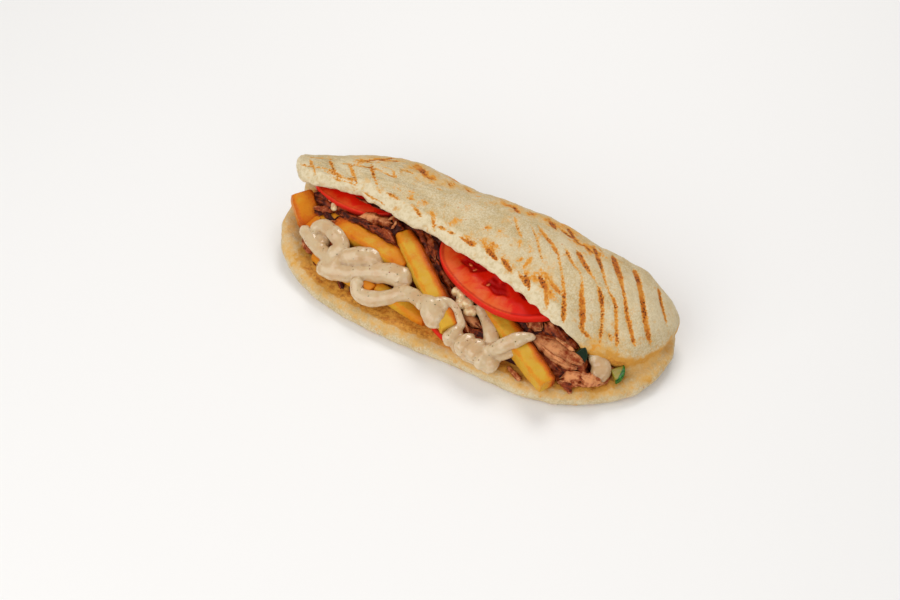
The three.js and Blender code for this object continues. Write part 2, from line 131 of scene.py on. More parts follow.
# Each rope of sauce, as the points that it passes through with its width at each.
ROPES = [
    [(-106, -10.2, 25, 7.5), (-100.6, -13.6, 24, 9), (-94.5, -17.2, 23.5, 9), (-88.1, -20, 23.3, 9.5),
     (-80.8, -23.4, 23.3, 11), (-73.8, -26.2, 23.5, 12), (-67.8, -26.2, 24, 11)],
    [(-95.1, -13.4, 26.5, 7), (-95.6, -9.8, 28.5, 8), (-92, -8.6, 30.3, 9), (-87.2, -9.8, 31.3, 9.5),
     (-81.1, -12.1, 31.3, 10), (-76.3, -14.9, 30.3, 10.5), (-74.5, -18.4, 28.5, 11),
     (-76.7, -21.8, 26.5, 11), (-81.4, -23.5, 24, 10)],
    [(-94.5, -11.5, 24, 9), (-89.5, -14.6, 24.2, 10.5), (-84.5, -18.2, 23.8, 10.5)],
    [(-70.8, -25.3, 26, 10), (-68.4, -22.2, 28, 11), (-64.1, -20.1, 29.3, 11.5), (-59.3, -18, 29.6, 11.5),
     (-53.6, -16.6, 28.6, 12), (-47.6, -16.8, 26.6, 11)],
    [(-85.2, -28.1, 20.5, 10), (-78, -30, 20.8, 11.5), (-70.8, -29.5, 21.3, 11.5), (-63.8, -27.5, 22, 11),
     (-57.1, -25.1, 23, 11), (-49.7, -22.7, 24.3, 11.5), (-42, -20.9, 26, 13), (-33.6, -21.2, 27, 14.5),
     (-26.4, -22.6, 26, 13)],
    [(-57.7, -28.8, 23, 8), (-56.4, -32.7, 21.5, 8.5), (-54.8, -35.8, 19.3, 9), (-50.2, -37.1, 17.8, 9.5),
     (-42.9, -35.9, 18.6, 9.5), (-34.9, -32.3, 20.8, 9.5), (-29, -28.5, 23.5, 9.5),
     (-22.2, -28.9, 25.8, 9.5), (-14.9, -31.9, 27.6, 9.5), (-9, -34.7, 28.5, 10)],
    [(-17, -30.5, 26.6, 8), (-9.5, -32.9, 29, 12), (-5.8, -35.9, 28, 13.5), (-2, -38.5, 25.8, 14),
     (2.2, -39.4, 22.8, 12)],
    [(-8.5, -33, 30, 8), (-4.7, -32.2, 30.6, 9), (-1.2, -32.2, 30, 8), (1.3, -34.2, 28.2, 6)],
    [(-4.6, -31.5, 30.6, 7), (-1.2, -28.9, 31, 6), (2.6, -27.9, 30.2, 5), (6.9, -29.6, 28.2, 5),
     (10.6, -33.3, 26, 5.5), (13.7, -37.1, 23, 7)],
    [(5.3, -26.4, 24.5, 3.5), (8.3, -29.9, 23.6, 4.5), (9.2, -34.3, 22.8, 5), (8.8, -38.7, 22, 6)],
    [(9.4, -42.4, 18.6, 12.5), (17.6, -43.6, 18.4, 14), (25.8, -43.9, 17.8, 15), (33, -41.3, 17.3, 15)],
    [(8.9, -47.6, 17.8, 8), (9.4, -43.7, 20, 10.5), (10.9, -39.1, 22, 10), (12, -34.9, 22.6, 7)],
    [(16.9, -50.2, 17.4, 8.5), (18.1, -47.3, 20, 11), (19.5, -42.6, 21.8, 10.5), (20.5, -36.8, 22.2, 7.5)],
    [(24.1, -50.6, 16.8, 9), (25.6, -47.3, 19.8, 11.5), (26.5, -42.8, 21.4, 10.5), (27.1, -37.6, 21.4, 7)],
    [(30, -45.5, 17.6, 14), (35.4, -46.6, 17, 15), (39.6, -42.8, 17.6, 14)],
    [(29.2, -42.8, 20.4, 10), (33.4, -43.8, 21, 12), (37.2, -43, 20.6, 11.5)],
    [(26.5, -47.6, 18.6, 11), (31.6, -48.4, 18.6, 12.5), (36.8, -47.6, 18, 12.5)],
    [(31.7, -40.7, 20.4, 11), (36.5, -40.6, 20.4, 13), (41.4, -38.8, 21.4, 10), (45.6, -38.2, 22.6, 6.5),
     (48.4, -38.8, 22.6, 3)],
    [(31.5, -43, 19, 8), (36.2, -41.8, 23.4, 8.5), (40.3, -39.6, 27, 8.5), (44.3, -36.5, 29.4, 8.5),
     (48.6, -32.6, 30, 7.5), (52.4, -29.6, 30, 5.5), (55.4, -28.3, 29.2, 3.5)],
    [(15, -20.4, 27.6, 6), (21.5, -24.6, 26.8, 7), (26.9, -29.5, 25.4, 8), (31.4, -34.9, 23.2, 9.5),
     (34.9, -39.5, 20.5, 11)],
    [(41.5, -40.2, 18.6, 3), (44.7, -37.8, 18.6, 3.2), (47.7, -37.7, 18.4, 2.4)],
    [(48.8, -38.1, 19.5, 1.8), (50, -39.9, 17.8, 1.8), (51.5, -42.4, 16, 2.2)],
]
END_ROPE = [(84.8, -20.1, 24, 7), (90, -21.6, 21, 10), (93.6, -23.4, 18, 12),
            (93.2, -27.8, 16, 11), (89.9, -32, 15, 7)]
ROPE_FLATNESS = 0.3                # how much thinner a rope is than it is wide
OUTWARD = np.array((0.2, -0.6, 0.77))  # out of the mouth, away from the slope of the filling

# Grill marks on the top, as x, y and half width at two or more points along each.
GRILL_MARKS = [
    (49, -5, 1.6, 53, -12, 1.4, 57, -19, 1.0),
    (31, 27, 1.0, 46, 16, 1.2, 53, 7, 0.6, 61, -6, 1.0, 68, -21, 1.6),
    (51, 19, 1.0, 58, 12, 0.8, 66, 6, 0.4, 71, -4, 1.4, 75, -11, 1.8, 79, -19, 1.0),
    (57, 22, 1.6, 67, 12, 1.3, 76, 5, 0.4, 80.5, 0.5, 1.5, 85, -6.5, 0.9, 89, -17, 1.3),
    (63, 33, 1.9, 72, 20, 1.3, 82, 6, 0.6, 89, 1, 1.0, 94, -7, 1.1, 99, -16, 1.0),
    (75, 33, 2.1, 84, 19, 1.9, 92, 7, 0.9, 97, 0, 1.2, 104, -7, 1.2, 107, -10, 1.6),
    (89, 31, 1.9, 97, 19, 2.0, 105, 6, 1.6, 110, 0, 1.6, 115, -3, 1.0),
    (105, 29, 1.2, 112, 18, 1.3, 118, 11, 0.8), (16, 27, 0.4, 23, 18, 0.7, 26, 15, 0.9),
    (26, 27, 0.4, 33, 19, 0.6, 38, 12, 0.6, 43, 5, 0.4), (29, 29, 0.7, 40, 21, 0.9, 48, 13, 0.6),
    (-117, 22, 0.9, -107, 11, 0.5), (-105, 25, 1.0, -94, 14, 0.6), (-93, 27, 1.2, -80, 14, 0.8),
    (-80, 31, 1.2, -74, 23, 0.9, -68, 17, 0.5), (-66, 32, 0.8, -60, 25, 0.6),
    (-119, 15, 0.4, -105, 17, 0.5, -89, 16, 0.4), (-97, 25, 0.4, -78, 28, 0.6, -59, 26, 0.4),
    (-120, 24, 0.4, -102, 27, 0.4), (-98, 13, 0.4, -80, 14, 0.5), (-76, 12, 0.6, -68, 10, 0.6, -59, 8, 0.5),
    (-122, 16, 0.5, -111, 16, 0.7), (-103, 15, 0.6, -82, 16, 0.8), (-75, 31, 0.5, -66, 32, 0.6),
    (-62, 35, 0.5, -52, 34, 0.6), (-29, 12, 0.6, -27, 8, 1.0, -24, 3, 1.2),
    (-23, 6, 0.6, -17, 5, 0.9, -11, 4, 0.6), (-5, 3, 0.7, -1, 2, 1.4, 4, 1, 1.0),
    (6, 5, 1.0, 12, 1, 1.6, 19, -3, 1.2), (9, 6, 0.8, 14, 5, 1.0, 18, 3, 0.6),
    (20, -1, 1.1, 25, -4, 1.6, 30, -7, 1.2), (37, -5, 1.2, 40, -9, 1.6, 43, -13, 1.2),
    (44, -3, 1.3, 49, -7, 1.9, 54, -11, 1.6), (50, -3, 0.8, 55, -6, 1.4, 61, -9, 1.0),
    (-87, 32, 0.9, -79, 38, 1.3, -70, 46, 1.5), (-58, 42, 1.3, -50, 39, 1.7, -41, 35, 1.3),
    (-33, 39, 1.3, -28, 35, 1.0), (-22, 42, 1.2, -18, 38, 0.8), (0, 43, 1.0, 5, 40, 1.2),
    (9, 40, 1.2, 13, 36, 1.5, 17, 33, 0.9), (19, 42, 1.3, 24, 37, 1.6),
    (31, 41, 1.4, 36, 36, 2.0, 40, 32, 1.2), (43, 41, 1.6, 49, 35, 1.6, 55, 29, 1.3),
    (58, 30, 1.2, 66, 26, 1.2), (-88, 32, 0.8, -80, 33, 0.8), (-79, 37, 1.1, -66, 42, 1.1),
    (-66, 31, 0.7, -60, 26, 0.7), (-58, 46, 1.6, -47, 39, 1.6), (-46, 38, 1.0, -39, 36, 1.0),
    (-32, 40, 0.7, -28, 37, 0.7), (-23, 41, 1.0, -17, 39, 1.0), (-61, 15, 0.8, -51, 13, 0.8),
    (-48, 16, 0.8, -43, 16, 0.8), (-40, 17, 0.8, -33, 16, 0.8), (-42, 12, 1.0, -34, 7, 1.0),
    (-36, 29, 0.5, -30, 29, 0.5), (-24, 6, 0.9, -17, 5, 0.9), (-8, 3, 1.1, 4, 2, 1.1),
    (-68, 16, 0.6, -63, 13, 0.6), (33, -5, 0.9, 42, -12, 0.9), (75, -17, 1.1, 84, -18, 1.1),
    (91, -11, 1.0, 95, -14, 1.0), (41, 35, 1.3, 52, 31, 1.3), (53, 29, 1.1, 62, 30, 1.1),
    (62, 26, 0.8, 71, 31, 0.8), (65, 36, 0.8, 69, 32, 0.8),
]

# Toasted patches: x, y, z, reach and strength.
TOASTED = [
    (-87, 32, 51, 5, 0.8), (-78, 38, 50, 6, 0.8), (-68, 45, 45, 6, 0.8), (-55, 41, 50, 5, 0.9),
    (-48, 38, 52, 5, 0.9), (-41, 35, 53, 5, 0.9), (-30, 38, 52, 4, 1.0), (-20, 40, 51, 4, 0.7),
    (4, 41, 49, 5, 0.8), (11, 37, 51, 5, 0.9), (16, 40, 49, 4, 0.9), (22, 38, 51, 4, 1.0),
    (35, 37, 50, 5, 1.2), (45, 39, 48, 7, 0.9), (54, 30, 52, 6, 1.0), (64, 33, 50, 5, 0.9),
    (-29, 12, 52, 4, 0.8), (-26, 6, 50, 4, 1.0), (-24, 3, 49, 3, 1.0), (-17, 5, 50, 4, 0.8),
    (-2, 2, 51, 5, 1.0), (3, 1, 51, 3, 0.9), (8, 4, 52, 4, 1.0), (13, 2, 52, 4, 1.1), (18, -3, 51, 3, 1.0),
    (22, -2, 51, 4, 1.0), (28, -6, 50, 4, 1.1), (33, 0, 52, 4, 0.9), (38, -7, 51, 4, 1.0),
    (42, -12, 49, 3, 1.1), (46, -4, 51, 6, 0.9), (52, -10, 50, 6, 1.0), (57, -14, 49, 5, 0.9),
    (-14, 12, 53, 4, 0.6), (-48, 18, 53, 4, 0.7), (-42, 13, 52, 4, 0.7), (-36, 16, 53, 3, 0.6),
    (-56, 20, 53, 4, 0.6), (62, 26, 52, 5, 0.9), (70, 28, 51, 5, 0.8), (26, 11, 53, 3, 0.8),
    (33, 10, 53, 3, 0.9), (44, 7, 52, 3, 1.0), (49, 5, 51, 3, 1.1), (5, 13, 53, 3, 1.1),
    (13, 13, 53, 3, 0.9), (-18, 7, 52, 3, 0.9), (16, 27, 53, 3, 0.9), (12, 24, 53, 3, 1.0),
    (34, 21, 53, 3, 1.1), (35, 3, 53, 3, 0.8), (86, -19, 29, 4, 0.7), (93, -12, 36, 5, 0.6),
    (-95, 44, 28, 6, 0.6), (-62, 52, 30, 7, 0.8), (-36, 52, 37, 5, 0.8), (-12, 53, 24, 8, 0.9),
    (14, 52, 38, 5, 0.9), (30, 53, 18, 6, 0.7), (44, 50, 30, 7, 0.9), (68, 46, 22, 6, 0.8),
    (88, 40, 28, 7, 0.9), (104, 31, 22, 5, 0.8),
]

# The strips of meat that show: the points each runs through, its width, thickness and paleness.
STRIPS = [
    ((-103.2, 0.4, 31.9, -97.9, 2.1, 32, -91.9, 2.2, 32.1), 3.6, 2.4, 0.6),
    ((-91.1, 6, 32.9, -84.4, 6.5, 33, -77.8, 7, 33), 4.5, 2.6, 0.22),
    ((-104, 6.4, 30.2, -99.3, 4.4, 31.7, -93.5, 1.5, 31.2), 3.5, 2.4, 0.15),
    ((-86.5, 3, 33.5, -76, 1.5, 35, -65.6, 1.6, 35.8), 4, 2.6, 0.12),
    ((-73, 3.6, 35.2, -63.4, 4.4, 37.2, -52, 3.9, 39.5), 7.5, 3.4, 0.62),
    ((-50.6, 5.5, 41, -49.4, 3.5, 41.5, -50.2, 0.4, 39.8), 1.7, 1.2, 1),
    ((-64.3, -1.9, 37, -57.8, -1.6, 35.8, -48.1, -5, 36), 5, 3, 0.3),
    ((-57.5, 0, 36, -51.6, -2.2, 37.6, -45.8, -5.6, 35.6), 3.4, 2.4, 0.5),
    ((-42.5, 8.5, 39, -35.2, 6.5, 38.8, -28.7, 5.2, 38.2), 5.5, 3, 0.25),
    ((-32.8, 6.4, 38.8, -26.4, 2.6, 36.9, -19.1, -5.5, 35.6), 4.5, 3, 0.42),
    ((-29.3, 4.5, 38.4, -25.9, 1.4, 37.4, -21.7, -1.8, 36.4), 1.8, 1.4, 0.95),
    ((-26, 4.4, 37.7, -17.3, -2.7, 35.3, -11.1, -7.4, 31.5), 5, 3, 0.12),
    ((-17.5, -7.4, 34.9, -10.9, -10.4, 30, -3.7, -14.6, 26.5), 4.5, 3, 0.2),
    ((-10.8, -14.5, 26.2, -3.1, -19.7, 23.2, 4.8, -25.3, 20.1), 4.6, 3, 0.45),
    ((7.8, -25, 20.8, 13.5, -26.1, 21, 20.3, -28.5, 20), 6, 3.4, 0.85),
    ((6, -26.4, 22, 11.4, -30.9, 21, 17.2, -35.2, 20), 3.5, 2.4, 0.75),
    ((65.7, -24.6, 31, 72.4, -26.3, 30.5, 77.8, -27.4, 29.5), 2, 1.6, 1.0),
    ((58.7, -30.5, 27.5, 67.4, -33.6, 27, 76.6, -35.1, 26), 2, 1.6, 1.0),
    ((-57.1, 2.4, 40, -54.1, 5.6, 41, -52.2, 9.5, 41.5), 1.6, 1.2, 0.95),
    ((14.1, -27.5, 19.8, 18.8, -27.9, 20.1, 23.8, -29.2, 19.7), 3.2, 2.2, 0.35),
    ((-102.9, -14.2, 18, -96.9, -17.8, 18.6, -91.7, -19.5, 17), 6.5, 4, 0.55),
    ((45.6, -19.8, 31, 49.8, -19.4, 29.6, 55.4, -20.4, 28.6), 7, 4, 0.8),
    ((56.1, -16.8, 31, 64.6, -20.5, 28.6, 74, -23.5, 25.6), 6, 3.4, 0.42),
    ((62.3, -16.8, 31, 69.9, -20.1, 28.4, 77.8, -22.5, 25.6), 4.5, 3, 0.3),
    ((54, -26.3, 25, 65.4, -28.8, 25.8, 75.2, -28.7, 24.8, 82.5, -28.9, 23), 9, 4, 0.8),
    ((56.2, -24.2, 26, 65.3, -23.2, 26.9, 75.5, -23.9, 25.2), 4.5, 3, 0.7),
    ((64.5, -31.6, 21.6, 72.2, -32.6, 21.2, 81.5, -31.5, 20.4), 4.4, 3, 0.78),
    ((59.2, -30.8, 21.6, 66.2, -34, 20.3, 73.8, -36, 18.9), 4, 3, 0.55),
    ((76.4, -38.9, 16.5, 81.6, -35.9, 18.8, 87.7, -34.4, 18.2), 6, 4, 0.72),
    ((83.3, -32.8, 18.6, 89.9, -33.8, 18, 96.8, -31.5, 16.1), 6.5, 4, 0.72),
    ((82, -37.8, 16.7, 87.1, -36.2, 14.6, 92, -34, 14), 3.4, 2.4, 0.7),
    ((85, -19.5, 17.7, 88.5, -21.5, 16, 91.2, -24.6, 14.2), 5, 3, 0.5),
    ((45, -42, 12.4, 50, -44.5, 12.4, 55, -47, 12), 3, 1.8, 0.85),
    ((17.1, -36.1, 17.4, 23.6, -36.5, 18, 30.3, -36.2, 17.8), 5, 3, 0.3),
    ((14.7, -33.5, 19, 20.8, -33.1, 19.2, 27.1, -33.2, 19.2), 5, 3, 0.3),
    ((-109.5, 6, 17, -110.5, 12, 19.5, -109.5, 19, 18), 5.5, 3, 0.35),
    ((-109, 14, 24, -109.5, 20, 22.5, -107, 26, 20), 5, 3, 0.25),
    ((-107.5, 4, 27.5, -108, 10, 28.5, -107, 16, 27.5), 4.5, 2.6, 0.45),
    ((-108.5, 10, 22.5, -109.5, 15, 26, -107.5, 20, 28.5), 5, 3, 0.5),
    ((-105, 22, 30, -103.5, 27, 27, -100, 31, 22.5), 5, 3, 0.3),
    ((-107, 18, 16.5, -103.5, 25, 16.5, -97.5, 30, 18), 4.5, 3, 0.4),
    ((-110, 2, 20, -110, 8, 23.5, -109, 12, 21), 4, 2.6, 0.2),
]
# Where smaller strips fill in: x range, range up the slope, heading range, count and paleness.
STRIP_AREAS = [
    ((-106, -86), (25, 31), (-0.4, 0.2), 5, 0.2),
    ((-90, -58), (14, 27), (-0.7, 0.2), 14, 0.3),
    ((-62, -34), (14, 30), (-0.9, 0.0), 14, 0.3),
    ((-34, 4), (8, 30), (-1.2, -0.3), 18, 0.3),
    ((-104, -60), (0, 10), (-0.9, 0.4), 10, 0.4),
    ((-2, 34), (4, 18), (-1.1, -0.2), 8, 0.4),
    ((42, 70), (5, 16), (-0.9, -0.1), 9, 0.3),
    ((60, 84), (4, 10), (-0.8, 0.3), 4, 0.6),
]
STRIP_CEILING = 35               # fillers stay below the tomato slices
STRIP_ROWS = 22
STRIP_SIDES = 20


# ------------------------------------------------------------------ numbers

def along(table, x):
    """The value of a table of (place along the bread, value) at each x."""
    return np.interp(x, *zip(*table))


def lip(x):
    """The y of the bottom flap's front lip at each x."""
    oval = np.maximum(0, 1 - np.abs(x / 126) ** 2.5) ** 0.4
    return 8 - 58 * oval - 6 * np.exp(-(((x - 72) / 36) ** 2))


def srgb(red, green, blue):
    """A colour picked on a screen, 0 to 255 a channel, as linear light."""
    values = [c / 255 for c in (red, green, blue)]
    return tuple(c / 12.92 if c <= 0.04045 else ((c + 0.055) / 1.055) ** 2.4 for c in values)


def smoothstep(low, high, values):
    """0 where values are at low, 1 where they are at high, and smooth in between."""
    t = np.clip((values - low) / (high - low), 0, 1)
    return t * t * (3 - 2 * t)


def ripple(points, size, seed):
    """A smooth uneven field over points, from about -1 to 1, with bumps about as far apart as size."""
    source = np.random.default_rng(seed)
    waves = 8
    total = np.zeros(len(points))
    for _ in range(waves):
        direction = source.normal(size=3)
        direction *= 2 * math.pi / size * source.uniform(0.6, 1.4) / np.linalg.norm(direction)
        total += np.sin(points @ direction + source.uniform(0, 2 * math.pi))
    return 2 * total / waves


def smooth_line(points, step):
    """Points a step apart along a smooth curve through the given ones."""
    points = [np.array(point, float) for point in points]
    padded = [2 * points[0] - points[1], *points, 2 * points[-1] - points[-2]]
    line = []
    for a, b, c, d in zip(padded, padded[1:], padded[2:], padded[3:]):
        count = max(2, int(round(np.linalg.norm((c - b)[:3]) / step)))
        for t in np.arange(count) / count:
            line.append(0.5 * (2 * b + (c - a) * t + (2 * a - 5 * b + 4 * c - d) * t ** 2
                               + (3 * b - a - 3 * c + d) * t ** 3))
    line.append(points[-1])
    return np.array(line)


def distance_along(line):
    """How far each point of a line is from its start."""
    return np.concatenate([[0], np.cumsum(np.linalg.norm(np.diff(line, axis=0), axis=1))])


# ------------------------------------------------------------------ modelling helpers

def select_only(piece):
    """Selects one object and makes it active."""
    bpy.ops.object.select_all(action="DESELECT")
    piece.select_set(True)
    bpy.context.view_layer.objects.active = piece


def new_object(name, data):
    """A new object in the scene."""
    thing = bpy.data.objects.new(name, data)
    bpy.context.scene.collection.objects.link(thing)
    return thing


def modify(piece, kind, **settings):
    """Gives a piece one modifier and applies it."""
    modifier = piece.modifiers.new(kind, kind)
    for name, value in settings.items():
        setattr(modifier, name, value)
    select_only(piece)
    bpy.ops.object.modifier_apply(modifier=modifier.name)


def edit_all(piece, operator, **settings):
    """Runs an edit mode operator on the whole of a piece."""
    select_only(piece)
    bpy.ops.object.mode_set(mode="EDIT")
    bpy.ops.mesh.select_all(action="SELECT")
    operator(**settings)
    bpy.ops.object.mode_set(mode="OBJECT")


def apply_place(piece):
    """Puts the place, turn and size of a piece in its mesh."""
    select_only(piece)
    bpy.ops.object.transform_apply(location=True, rotation=True, scale=True)


def copy_of(node, name):
    """A new piece with a CAD node's shape, its loose triangles merged."""
    piece = new_object(name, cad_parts[node].data.copy())
    piece.data.name = name
    piece.data.materials.clear()
    edit_all(piece, bpy.ops.mesh.remove_doubles, threshold=1e-5)
    return piece


def join(name, parts):
    """Joins parts into the first of them and names it."""
    select_only(parts[0])
    for part in parts[1:]:
        part.select_set(True)
    bpy.ops.object.join()
    parts[0].name = parts[0].data.name = name
    return parts[0]


def remesh(piece, size):
    """Gives a piece an even skin of small faces."""
    modify(piece, "REMESH", mode="VOXEL", voxel_size=size, use_smooth_shade=True)


def relax(piece, times):
    """Smooths a piece, as a soft thing settles."""
    modify(piece, "SMOOTH", iterations=times, factor=0.5)


def roughen(piece, name, size, height, group="", depth=2):
    """Raises and lowers a skin by a cloud pattern of that size."""
    texture = bpy.data.textures.new(name, "CLOUDS")
    texture.noise_scale = size
    texture.noise_depth = depth
    texture.noise_basis = "IMPROVED_PERLIN"
    modify(piece, "DISPLACE", texture=texture, texture_coords="LOCAL", strength=height, mid_level=0.5,
           vertex_group=group)


def sink(piece, depth, group):
    """Presses the skin in where a vertex group is strong."""
    modify(piece, "DISPLACE", strength=-depth, mid_level=0, vertex_group=group)


def places(piece):
    """The vertices of a piece, one row each, in millimetres."""
    values = np.zeros(len(piece.data.vertices) * 3)
    piece.data.vertices.foreach_get("co", values)
    return values.reshape(-1, 3) / MM


def move_to(piece, points):
    """Puts the vertices of a piece at new places, given in millimetres."""
    piece.data.vertices.foreach_set("co", (points * MM).ravel())
    piece.data.update()


def facings(piece):
    """The vertex normals of a piece, one row each."""
    values = np.zeros(len(piece.data.vertices) * 3)
    piece.data.vertex_normals.foreach_get("vector", values)
    return values.reshape(-1, 3)


def settle(piece, node, centre=(0, 0, 0)):
    """Moves a piece from where its solid lies to where it shows, and shrinks it about a centre."""
    shift, size = MOVED.get(node, ((0, 0, 0), 1))
    move_to(piece, np.array(centre) + shift + size * (places(piece) - centre))


def hollows(piece, reach):
    """How many millimetres each vertex lies under its surroundings: above 0 in a dip, below 0 on a rise. The
    materials paint shade in the dips, and on the sauce a highlight on the rises.
    """
    points = places(piece)
    ends = np.zeros(len(piece.data.edges) * 2, int)
    piece.data.edges.foreach_get("vertices", ends)
    here, there = ends.reshape(-1, 2).T
    count = np.bincount(ends, minlength=len(points))[:, None]
    middle = points
    for _ in range(reach):
        total = [np.bincount(here, column[there], len(points)) + np.bincount(there, column[here], len(points))
                 for column in middle.T]
        middle = np.stack(total, 1) / count
    return ((middle - points) * facings(piece)).sum(1)


def write_field(piece, name, values):
    """Keeps a number or a vector for each vertex, for the material to read."""
    values = np.asarray(values, np.float32)
    kind, label = ("FLOAT", "value") if values.ndim == 1 else ("FLOAT_VECTOR", "vector")
    piece.data.attributes.new(name, kind, "POINT").data.foreach_set(label, values.ravel())


def write_group(piece, name, values):
    """Keeps a weight for each vertex, for modifiers to read."""
    group = piece.vertex_groups.new(name=name)
    for index in np.flatnonzero(values > 0.01):
        group.add([int(index)], float(values[index]), "REPLACE")


def finish_piece(piece, material, slot, *nodes):
    """Gives a piece its material and its place in the part."""
    if not piece.data.polygons:
        raise RuntimeError(f"{piece.name} has no faces")
    piece.data.materials.clear()
    piece.data.materials.append(material)
    piece.vertex_groups.clear()
    select_only(piece)
    bpy.ops.object.shade_smooth()
    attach(piece, "root")
    if nodes:
        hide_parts(*nodes)


# ------------------------------------------------------------------ settings helpers

def length(name, description, size, **limits):
    """A length that a user can change, its default given in millimetres."""
    return FloatProperty(name=name, description=description, default=size * MM, subtype="DISTANCE",
                         unit="LENGTH", **limits)


def colour(name, description, *channels):
    """A colour that a user can change, its default picked on a screen."""
    return FloatVectorProperty(name=name, description=description, default=srgb(*channels), subtype="COLOR")


def angle(name, description, degrees):
    """An angle that a user can change, its default given in degrees."""
    return FloatProperty(name=name, description=description, default=math.radians(degrees), subtype="ANGLE",
                         unit="ROTATION")


# ------------------------------------------------------------------ material helpers

class Graph:
    """Adds nodes to one node tree and joins them up."""

    def __init__(self, tree):
        self.tree = tree

    @property
    def where(self):
        """Object coordinates."""
        node = self.tree.nodes.get("Texture Coordinate") or self.add("ShaderNodeTexCoord")
        return node.outputs["Object"]

    def add(self, kind, inputs=None, **settings):
        node = self.tree.nodes.new(kind)
        for name, value in settings.items():
            setattr(node, name, value)
        for name, value in (inputs or {}).items():
            self.feed(node.inputs[name], value)
        return node

    def feed(self, socket, value):
        if isinstance(value, bpy.types.NodeSocket):
            self.tree.links.new(value, socket)
        elif socket.type == "RGBA" and len(value) == 3:
            socket.default_value = (*value, 1)
        else:
            socket.default_value = value

    def field(self, name, output="Fac"):
        """What write_field has kept under that name."""
        return self.add("ShaderNodeAttribute", attribute_name=name).outputs[output]

    def math(self, operation, *values):
        return self.add("ShaderNodeMath", dict(enumerate(values)), operation=operation).outputs[0]

    def times(self, first, second):
        return self.math("MULTIPLY", first, second)

    def swayed(self, base, amount, noise):
        """A base value, pushed down and up by a noise."""
        return self.math("MULTIPLY_ADD", self.math("SUBTRACT", noise, 0.5), amount, base)

    def ramp(self, value, low, high, start=0.0, end=1.0):
        """Goes smoothly from start to end as value goes from low to high."""
        values = {"Value": value, "From Min": low, "From Max": high, "To Min": start, "To Max": end}
        node = self.add("ShaderNodeMapRange", values, interpolation_type="SMOOTHSTEP")
        return node.outputs["Result"]

    def mix(self, share, first, second, blend="MIX"):
        node = self.add("ShaderNodeMix", {0: share, 6: first, 7: second}, data_type="RGBA", blend_type=blend)
        return node.outputs[2]

    def fade(self, first, second, value, *bounds, blend="MIX"):
        """Goes from one colour to another as a value rises. The bounds are those of ramp."""
        return self.mix(self.ramp(value, *bounds), first, second, blend)

    def noise(self, scale, detail=2.0, roughness=0.5, distortion=0.0, vector=None):
        values = {"Vector": vector or self.where, "Scale": scale, "Detail": detail, "Roughness": roughness,
                  "Distortion": distortion}
        return self.add("ShaderNodeTexNoise", values).outputs["Fac"]

    def cells(self, scale):
        """The distance to the nearest of many scattered points."""
        return self.add("ShaderNodeTexVoronoi", {"Vector": self.where, "Scale": scale}).outputs["Distance"]

    def stretched(self, *amounts):
        """Object coordinates, scaled along each axis."""
        node = self.add("ShaderNodeVectorMath", {0: self.where, 1: amounts}, operation="MULTIPLY")
        return node.outputs["Vector"]

    def group(self, tree, **inputs):
        node = self.add("ShaderNodeGroup", node_tree=tree)
        for name, value in inputs.items():
            self.feed(node.inputs[name.capitalize()], value)
        return node.outputs

    def bump(self, height, distance, strength):
        """A bump of that distance, in millimetres."""
        node = self.add("ShaderNodeBump", {"Height": height, "Distance": distance * MM, "Strength": strength})
        return node.outputs["Normal"]


FLOAT = "NodeSocketFloat"
COLOUR = "NodeSocketColor"


def new_group(name, inputs, outputs, build):
    """A shader node group. build gets its Graph and its input sockets and returns the output sockets."""
    tree = bpy.data.node_groups.get(name)
    if tree:
        return tree
    tree = bpy.data.node_groups.new(name, "ShaderNodeTree")
    for label, default in inputs.items():
        is_colour = isinstance(default, tuple)
        socket = tree.interface.new_socket(label, in_out="INPUT", socket_type=COLOUR if is_colour else FLOAT)
        socket.default_value = (*default, 1) if is_colour else default
    for label, kind in outputs.items():
        tree.interface.new_socket(label, in_out="OUTPUT", socket_type=kind)
    graph = Graph(tree)
    results = build(graph, graph.add("NodeGroupInput").outputs)
    end = graph.add("NodeGroupOutput")
    for label, result in results.items():
        graph.feed(end.inputs[label], result)
    return tree


def new_material(name, build, roughness=None, specular=None, glow=None, coat=None):
    """A material. build gets its Graph and returns what feeds the surface shader.

    The rest sits on the shader: glow is the weight, the reach of each colour and the scale in millimetres of
    the light under its surface, and coat is a wet coat's weight and roughness.
    """
    material = bpy.data.materials.new(name)
    material.use_nodes = True
    graph = Graph(material.node_tree)
    values = {"Roughness": roughness, "Specular IOR Level": specular}
    if glow:
        weight, reach, scale = glow
        values.update({"Subsurface Weight": weight, "Subsurface Radius": reach,
                       "Subsurface Scale": scale * MM})
    if coat:
        values.update({"Coat Weight": coat[0], "Coat Roughness": coat[1]})
    values.update(build(graph))
    for label, value in values.items():
        if value is not None:
            graph.feed(material.node_tree.nodes["Principled BSDF"].inputs[label], value)
    return material


def toasting_group():
    """Turns a pale colour through gold and brown to char as an amount rises, with a ragged edge."""
    def build(graph, inputs):
        ragged = graph.math("MULTIPLY_ADD", graph.math("SUBTRACT", graph.noise(900, 3, 0.6), 0.5),
                            inputs["Raggedness"], inputs["Amount"])
        speckled = graph.swayed(ragged, 1.3, graph.noise(2600, 2, 0.6))
        golden = graph.fade(inputs["Pale"], inputs["Gold"], ragged, 0.12, 0.5)
        brown = graph.fade(golden, inputs["Brown"], ragged, 0.45, 0.95)
        return {"Colour": graph.fade(brown, inputs["Char"], speckled, 1.0, 1.25)}

    return new_group("Toasting", {
        "Amount": 0.0, "Raggedness": 1.0, "Pale": (0.8, 0.7, 0.5), "Gold": (0.6, 0.35, 0.1),
        "Brown": (0.3, 0.12, 0.03), "Char": (0.05, 0.02, 0.01),
    }, {"Colour": COLOUR}, build)


def toasted(graph, settings, pale, amount, raggedness):
    """A pale colour, toasted by an amount."""
    return graph.group(toasting_group(), amount=amount, raggedness=raggedness, pale=pale, gold=settings.gold,
                       brown=settings.brown, char=settings.char)["Colour"]


